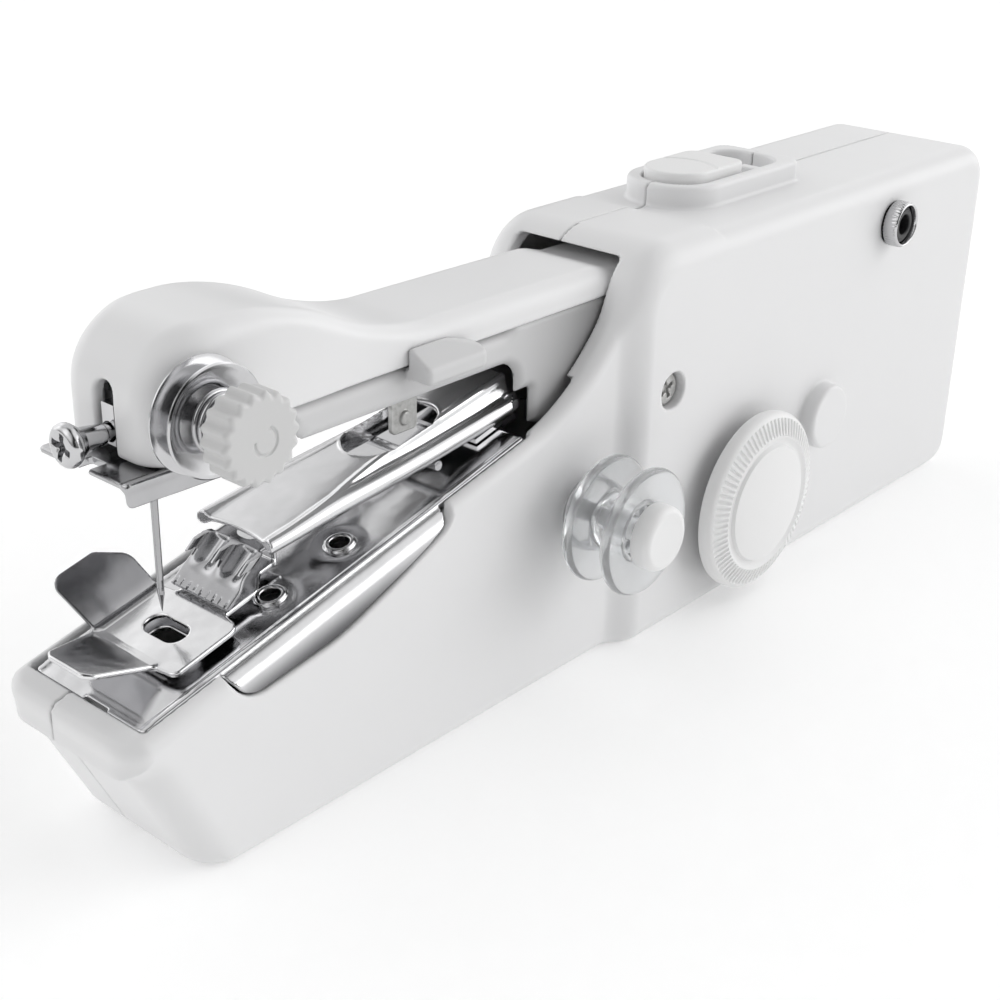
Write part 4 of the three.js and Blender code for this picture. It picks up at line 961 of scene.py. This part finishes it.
moulded(
    "clamp_screw_head", "clamp_screw", "tension_chrome", set_screw,
    (-101.5, -2.9, 57.4), (-89.6, 2.9, 63.2), 0.13, "needle_screw",
)


# ---------------- thread tension
def dished(y, radius, flare):
    """Profile of a thin washer with a rolled rim; flare is how far its rim stands off."""
    top = [(1.6, y), (4.3, y), (radius - 0.6, y + flare), (radius - 0.1, y + flare * 1.02)]
    rim = [(radius, y + flare * 0.95), (radius - 0.05, y + flare * 0.8)]
    under = [(radius - 0.7, y + flare * 0.72), (4.5, y - 0.42), (1.6, y - 0.42)]
    return top + rim + under


TENSION_AT = (TENSION_X, TENSION_Z)
OUTER_WASHER = [(1.6, -12.75), (4.4, -12.75), (6.6, -13.75), (7.1, -13.8)]
OUTER_WASHER += [(7.3, -13.6), (7.2, -13.3), (4.5, -12.32), (1.6, -12.32)]
for name, profile, cad_node in (
    ("tension_washer_inner", dished(-11.5, 7.6, 1.1), "tension_disc_inner"),
    ("tension_washer_outer", OUTER_WASHER, "tension_disc_outer"),
):
    spun(name, "arm", "tension_chrome", profile, TENSION_AT, cad_node, segments=128)


def tube_mesh(name, points, radius, sides=14):
    """Round wire along a list of points, closed at both ends."""
    points = np.array(points, float)
    ahead = np.gradient(points, axis=0)
    ahead /= np.linalg.norm(ahead, axis=1, keepdims=True)
    up = np.tile(np.array([0.0, 1.0, 0.0]), (len(points), 1))
    side = np.cross(ahead, up)
    side /= np.linalg.norm(side, axis=1, keepdims=True)
    up = np.cross(side, ahead)
    angles = np.linspace(0, 2 * math.pi, sides, endpoint=False)
    rings = points[:, None] + radius * (
        side[:, None] * np.cos(angles)[None, :, None] + up[:, None] * np.sin(angles)[None, :, None]
    )
    i, j = np.meshgrid(np.arange(len(points) - 1), np.arange(sides), indexing="ij")
    after = (j + 1) % sides
    here, ahead_row = i * sides, (i + 1) * sides
    faces = np.stack([here + j, ahead_row + j, ahead_row + after, here + after], 2).reshape(-1, 4)
    caps = [list(range(sides)), [(len(points) - 1) * sides + k for k in range(sides)][::-1]]
    mesh = bpy.data.meshes.new(name)
    mesh.from_pydata((rings.reshape(-1, 3) * MM).tolist(), [], faces.tolist() + caps)
    mesh.update()
    fix_normals(mesh, 50)
    return mesh


def helix(x, z, radii, y0, y1, turns, per_turn=48):
    """Coil about a line along Y through (x, z), its radius going evenly through radii."""
    t = np.linspace(0, 1, int(turns * per_turn) + 1)
    r = np.interp(t, np.linspace(0, 1, len(radii)), radii)
    angle = 2 * math.pi * turns * t + 0.6
    return np.stack([x + r * np.cos(angle), y0 + (y1 - y0) * t, z + r * np.sin(angle)], 1)


WIRE_RADIUS = 0.42
TENSION_COIL = helix(TENSION_X, TENSION_Z, [3.85, 3.7, 3.6, 3.7], -13.75, -16.3, 2.6)
BOBBIN_COIL = helix(BOBBIN_X, BOBBIN_Z, [5.0, 5.1, 5.2], -15.85, -18.5, 2.1, 64)
for name, body, line, cad_node in (
    ("tension_coil", "arm", TENSION_COIL, "tension_spring"),
    ("bobbin_wire", "casing", BOBBIN_COIL, "bobbin_spring"),
):
    add_piece(name, body, "spring_steel", tube_mesh(name, line, WIRE_RADIUS), cad_node)


def knob(x, y, z):
    """Lobed thumb knob with a plain arc cut in its face."""
    dx, dz = x - TENSION_X, z - TENSION_Z
    away, angle = np.hypot(dx, dz), np.arctan2(dz, dx)
    lobe = 5.68 + 0.26 * np.cos(18 * angle) * smooth_step(away, 2.5, 5)
    outer = round_and((away - lobe) * 0.8, slab(y, -21.95, -17.2), 0.65)
    mark = np.hypot(np.hypot(dx - 0.4, dz + 0.3) - 1.7, y + 21.95) - 0.22
    mark = both(mark, -(dx * 0.5 - dz * 0.86) - 0.6)
    recess = round_and(away - 4.4, slab(y, -19.5, -16), 0.3)
    bore = both(away - 1.5, slab(y, -21.2, -16))
    return both(carve(outer, mark, 0.1), -either(recess, bore))


moulded(
    "thumb_knob", "tension_knob", "knob_plastic", knob,
    (-94.3, -22, 57.9), (-82.4, -17.2, 69.7), 0.2, "tension_knob", TENSION_KNOB,
)


# ---------------- handwheel and bobbin
WHEEL_AT = (WHEEL_X, WHEEL_Z)
WHEEL_FACE = [(0, -23.75), (9.9, -23.6), (10.25, -23.5)]
WHEEL_GROOVE = [(10.4, -23.25), (10.6, -22.95), (11.0, -22.9), (11.4, -22.95), (11.8, -23.2), (12.1, -23.32)]
WHEEL_BEVEL = [(12.6, -23.22), (13.3, -22.98), (14.0, -22.74), (14.7, -22.48), (15.1, -22.3), (15.45, -22.1)]
WHEEL_RIM = [(15.75, -21.8), (15.95, -21.35), (15.98, -20.8), (15.95, -20.3), (15.8, -19.85), (15.45, -19.65)]
WHEEL_BACK = [(13.2, -19.5), (13.0, -19.6), (12.8, -20.2), (3.6, -20.2)]
WHEEL_HUB = [(3.4, -20.0), (3.2, -19.2), (3.1, -17.5), (0, -17.5)]
WHEEL_PROFILE = WHEEL_FACE + WHEEL_GROOVE + WHEEL_BEVEL + WHEEL_RIM + WHEEL_BACK + WHEEL_HUB


def wheel_ribs(angle, radius, depth):
    """Eighty fine ribs across the face's bevelled ring."""
    on_face = ((radius > 12.3) & (radius < 15.0) & (depth < -21)).astype(float)
    wave = 0.5 + 0.5 * np.tanh(4 * np.cos(80 * angle))
    return np.zeros_like(radius) * angle, 0.34 * on_face * wave


spun("wheel_disc", "handwheel", "knob_plastic", WHEEL_PROFILE, WHEEL_AT, "handwheel", 960, wheel_ribs, 40)

BOBBIN_AT = (BOBBIN_X, BOBBIN_Z)


def bobbin_flange(y0, y1, radius=10.15):
    """Outer edge of one thick rounded flange, from y0 to y1."""
    middle, half = (y0 + y1) / 2, abs(y1 - y0) / 2
    return [
        (radius - half + half * math.cos(t), middle + (y1 - y0) / 2 * math.sin(t))
        for t in np.linspace(-math.pi / 2, math.pi / 2, 9)
    ]


BOBBIN_PROFILE = (
    [(2.0, -19.35)]
    + bobbin_flange(-19.35, -21.1)
    + [(5.6, -21.15), (4.6, -21.3), (4.2, -21.8), (4.2, -25.9), (4.6, -26.4), (5.6, -26.5)]
    + bobbin_flange(-26.5, -28.25)
    + [(4.4, -28.25), (2.0, -28.2)]
)
spun("clear_spool", "bobbin", "bobbin_clear", BOBBIN_PROFILE, BOBBIN_AT, "bobbin", segments=160, smooth=60)
CAP_PROFILE = (
    [(0, -31.95), (3.9, -31.9)]
    + arc(3.9, -30.7, 1.25, 270, 360, 8)[1:]
    + [(5.2, -29.3), (5.1, -28.75), (1.2, -28.7), (1.2, -28.68), (0, -28.65)]
)
spun("spool_cap", "bobbin_pin", "knob_plastic", CAP_PROFILE, BOBBIN_AT, "bobbin_cap", smooth=50)

# ---------------- jack, switch, screws and door
JACK_AT = (JACK_X, JACK_Z)


def knurl(angle, radius, depth):
    """Fine straight knurling round the nut."""
    outer = ((radius > 4.0) & (depth < -17.6) & (depth > -19.6)).astype(float)
    return -0.14 * outer * (0.5 + 0.5 * np.cos(40 * angle)), np.zeros_like(radius) * angle


NUT_SIDE = [(3.5, -17.4), (3.95, -17.4), (4.17, -17.65), (4.17, -19.55)]
NUT_LIP = [(4.0, -19.85), (3.9, -20.1), (3.75, -20.18), (3.6, -20.1), (3.5, -19.9)]
spun("jack_ring", "casing", "jack_chrome", NUT_SIDE + NUT_LIP, JACK_AT, "jack_nut", 240, knurl, 60)
SOCKET_MOUTH = [(1.85, -11.5), (1.85, -19.4), (2.0, -19.58), (2.6, -19.58), (2.75, -19.45)]
SOCKET_SIDE = [(2.85, -19.2), (3.2, -19.2), (3.25, -19.0), (3.25, -9.2), (1.2, -9.2), (1.2, -11.5)]
spun("jack_socket", "casing", "black_plastic", SOCKET_MOUTH + SOCKET_SIDE, JACK_AT, "dc_jack", segments=64)


def slider(x, y, z):
    """Switch's sliding cap with a curved finger groove, and the stem through its slot."""
    cap = rounded_rect(x, y, (20.3, SWITCH_Y - 5.9), (38, SWITCH_Y + 5.9), (5.85, 2.2, 2.2, 5.85))
    body = round_and(cap, slab(z, 67.9, 72.55), 0.45)
    groove = np.hypot(np.hypot(x - 24, y - SWITCH_Y) - 7.5, z - 72.7) - 0.38
    groove = both(groove, 29 - x)
    stem = block(x, y, z, (28, SWITCH_Y - 1.6, 63.5), (33, SWITCH_Y + 1.6, 69), 0.2)
    return either(carve(body, groove, 0.12), stem)


moulded(
    "power_slider", "switch_slider", "knob_plastic", slider,
    (20.3, -3.6, 63.5), (38, 8.2, 72.6), 0.25, "switch_slider",
)


def casing_screw(centre_x, centre_z, side, face):
    """Pan-head cross screw sunk in its bore, its recess chewed by a driver."""

    def field(x, y, z):
        dx, dz, out = x - centre_x, z - centre_z, side * y - face
        away = np.hypot(dx, dz)
        head = round_and(away - 2.75, both(out + 0.1, -1.0 - out), 0.5)
        shank = both(away - 1.18, slab(out, -20, -0.9))
        screw = either(head, shank)
        turned_x, turned_z = 0.9 * dx + 0.43 * dz, 0.9 * dz - 0.43 * dx
        wander = 0.10 * np.sin(9 * dx + 3) * np.cos(7 * dz)
        one, other = abs(turned_x) - 0.32 - wander, abs(turned_z) - 0.32 + wander
        arms = both(either(one, other), away - 1.7)
        recess = both(arms, -0.75 - out)
        return carve(screw, recess, 0.2)

    return field


for name, sx, sz, side in SCREWS:
    face = side_face(sx) - SCREW_SINK
    near, far = sorted((side * (face - 20.5), side * face))
    low, high = (sx - 2.8, near, sz - 2.8), (sx + 2.8, far, sz + 2.8)
    screw = casing_screw(sx, sz, side, face)
    moulded(f"cross_screw_{name}", "casing", "zinc_steel", screw, low, high, 0.2, f"casing_screw_{name}")


def door(x, y, z):
    """Sliding door under the cells, with an upturned lip and grip grooves."""
    sheet = block(x, y, z, (70.9, -12.45, 0.4), (104.55, 12.45, 2.05), 0.4)
    lip = block(x, y, z, (102.7, -12.45, 0.4), (104.55, 12.45, 5.15), 0.5)
    shape = round_or(sheet, lip, 0.3)
    corner = round_and(x - 104.55, 0.4 - z, 4.2)
    shape = round_and(shape, corner, 0.3)
    ribs = abs(np.mod(x - 74, 1.8) - 0.9) - 0.35
    grip = both(ribs, slab(x, 74, 83), abs(y) - 6, z - 0.65)
    return carve(shape, grip, 0.12)


moulded(
    "cell_door", "battery_door", "door_plastic", door,
    (70.8, -12.5, 0.4), (104.6, 12.5, 5.2), 0.3, "battery_door",
)


# ---------------- floor, light and camera
FLOOR_HALF = 4.0  # metres
FLOOR_EMISSION = 0.23


def floor():
    """White paper that glows a little, as under studio light."""
    mesh = bpy.data.meshes.new("floor")
    corners = [(FLOOR_HALF * u, FLOOR_HALF * v, 0) for u, v in ((-1, -1), (1, -1), (1, 1), (-1, 1))]
    mesh.from_pydata(corners, [], [(0, 1, 2, 3)])
    made = bpy.data.objects.new("floor", mesh)
    bpy.context.scene.collection.objects.link(made)
    glow = {"Specular IOR Level": 0.1, "Emission Color": (1, 1, 1, 1), "Emission Strength": FLOOR_EMISSION}
    material, tree, shader, place = base_material("floor_paper", 0.9, **glow)
    ramp_between(tree, noise(tree, place, 300), grey(0.88), grey(0.90), shader.inputs["Base Color"])
    mesh.materials.append(material)


def area_light(name, at, towards, size, power):
    """Rectangular lamp at one point, turned towards another; metres and watts."""
    data = bpy.data.lights.new(name, "AREA")
    data.shape, data.size, data.size_y = "RECTANGLE", size[0], size[1]
    data.energy = power
    made = bpy.data.objects.new(name, data)
    made.location = at
    made.rotation_euler = (Vector(towards) - Vector(at)).to_track_quat("-Z", "Y").to_euler()
    bpy.context.scene.collection.objects.link(made)


# Soft lights in the sky: azimuth and elevation in degrees, and strength.
GLOWS = [
    (0, 8, 1.1),
    (315, 8, 1.6),
    (315, 45, 1.1),
    (180, 45, 0.7),
    (180, 8, 0.35),
    (135, 45, 0.7),
    (135, 8, 0.3),
    (90, 8, 1.3),
    (45, 45, 0.8),
]
GLOW_EDGE, GLOW_FULL = 0.72, 0.99  # cosines of the angles from its middle
SKY_LEAST = 0.02


def sky_glow(tree, place, azimuth, elevation, strength):
    """Soft brightness in the sky round one direction, from nothing 44 degrees away to its full strength."""
    turn, tilt = math.radians(azimuth), math.radians(elevation)
    facing = node(tree, "VectorMath", operation="DOT_PRODUCT")
    level = math.cos(tilt)
    facing.inputs[1].default_value = (level * math.cos(turn), level * math.sin(turn), math.sin(tilt))
    tree.links.new(place.outputs["Generated"], facing.inputs[0])
    limits = {"From Min": GLOW_EDGE, "From Max": GLOW_FULL, "To Min": 0.0, "To Max": strength}
    spread = node(tree, "MapRange", interpolation_type="SMOOTHERSTEP", **limits)
    tree.links.new(facing.outputs["Value"], spread.inputs["Value"])
    return spread.outputs["Result"]


def studio():
    """Sky of soft lights, one lamp at the near side, and a view transform that keeps white things distinct."""
    world = bpy.data.worlds.new("studio")
    bpy.context.scene.world = world
    world.use_nodes = True
    tree = world.node_tree
    background = tree.nodes["Background"]
    place = node(tree, "TexCoord")
    total = node(tree, "Value").outputs[0]
    total.default_value = SKY_LEAST
    for glow in GLOWS:
        added = node(tree, "Math", operation="ADD")
        tree.links.new(total, added.inputs[0])
        tree.links.new(sky_glow(tree, place, *glow), added.inputs[1])
        total = added.outputs[0]
    tree.links.new(total, background.inputs["Strength"])
    background.inputs["Color"].default_value = (1, 1, 1, 1)
    area_light("side_fill", (0.12, -0.95, 0.42), (0, 0, 0.04), (1.3, 0.6), 0.8)
    bpy.context.scene.view_settings.view_transform = "Standard"


CAMERA_TURN_TILT_ROLL = (-49.0845, 24.9545, -1.217)
CAMERA_AT = (-0.20295, -0.15762, 0.13848)  # metres
CAMERA_LENS = 59.28


def camera():
    """View of the near side from the needle end, a little above."""
    turn, tilt, roll = (math.radians(v) for v in CAMERA_TURN_TILT_ROLL)
    back = Vector((math.sin(turn) * math.cos(tilt), -math.cos(turn) * math.cos(tilt), math.sin(tilt)))
    right = (-back).cross(Vector((0, 0, 1))).normalized()
    down = (-back).cross(right)
    across = math.cos(roll) * right + math.sin(roll) * down
    up = math.sin(roll) * right - math.cos(roll) * down
    data = bpy.data.cameras.new("camera")
    data.lens, data.sensor_width, data.clip_start = CAMERA_LENS, 36, 0.005
    made = bpy.data.objects.new("camera", data)
    axes = Matrix((across, up, back)).transposed().to_4x4()
    made.matrix_world = Matrix.Translation(CAMERA_AT) @ axes
    bpy.context.scene.collection.objects.link(made)
    bpy.context.scene.camera = made


floor()
studio()
camera()
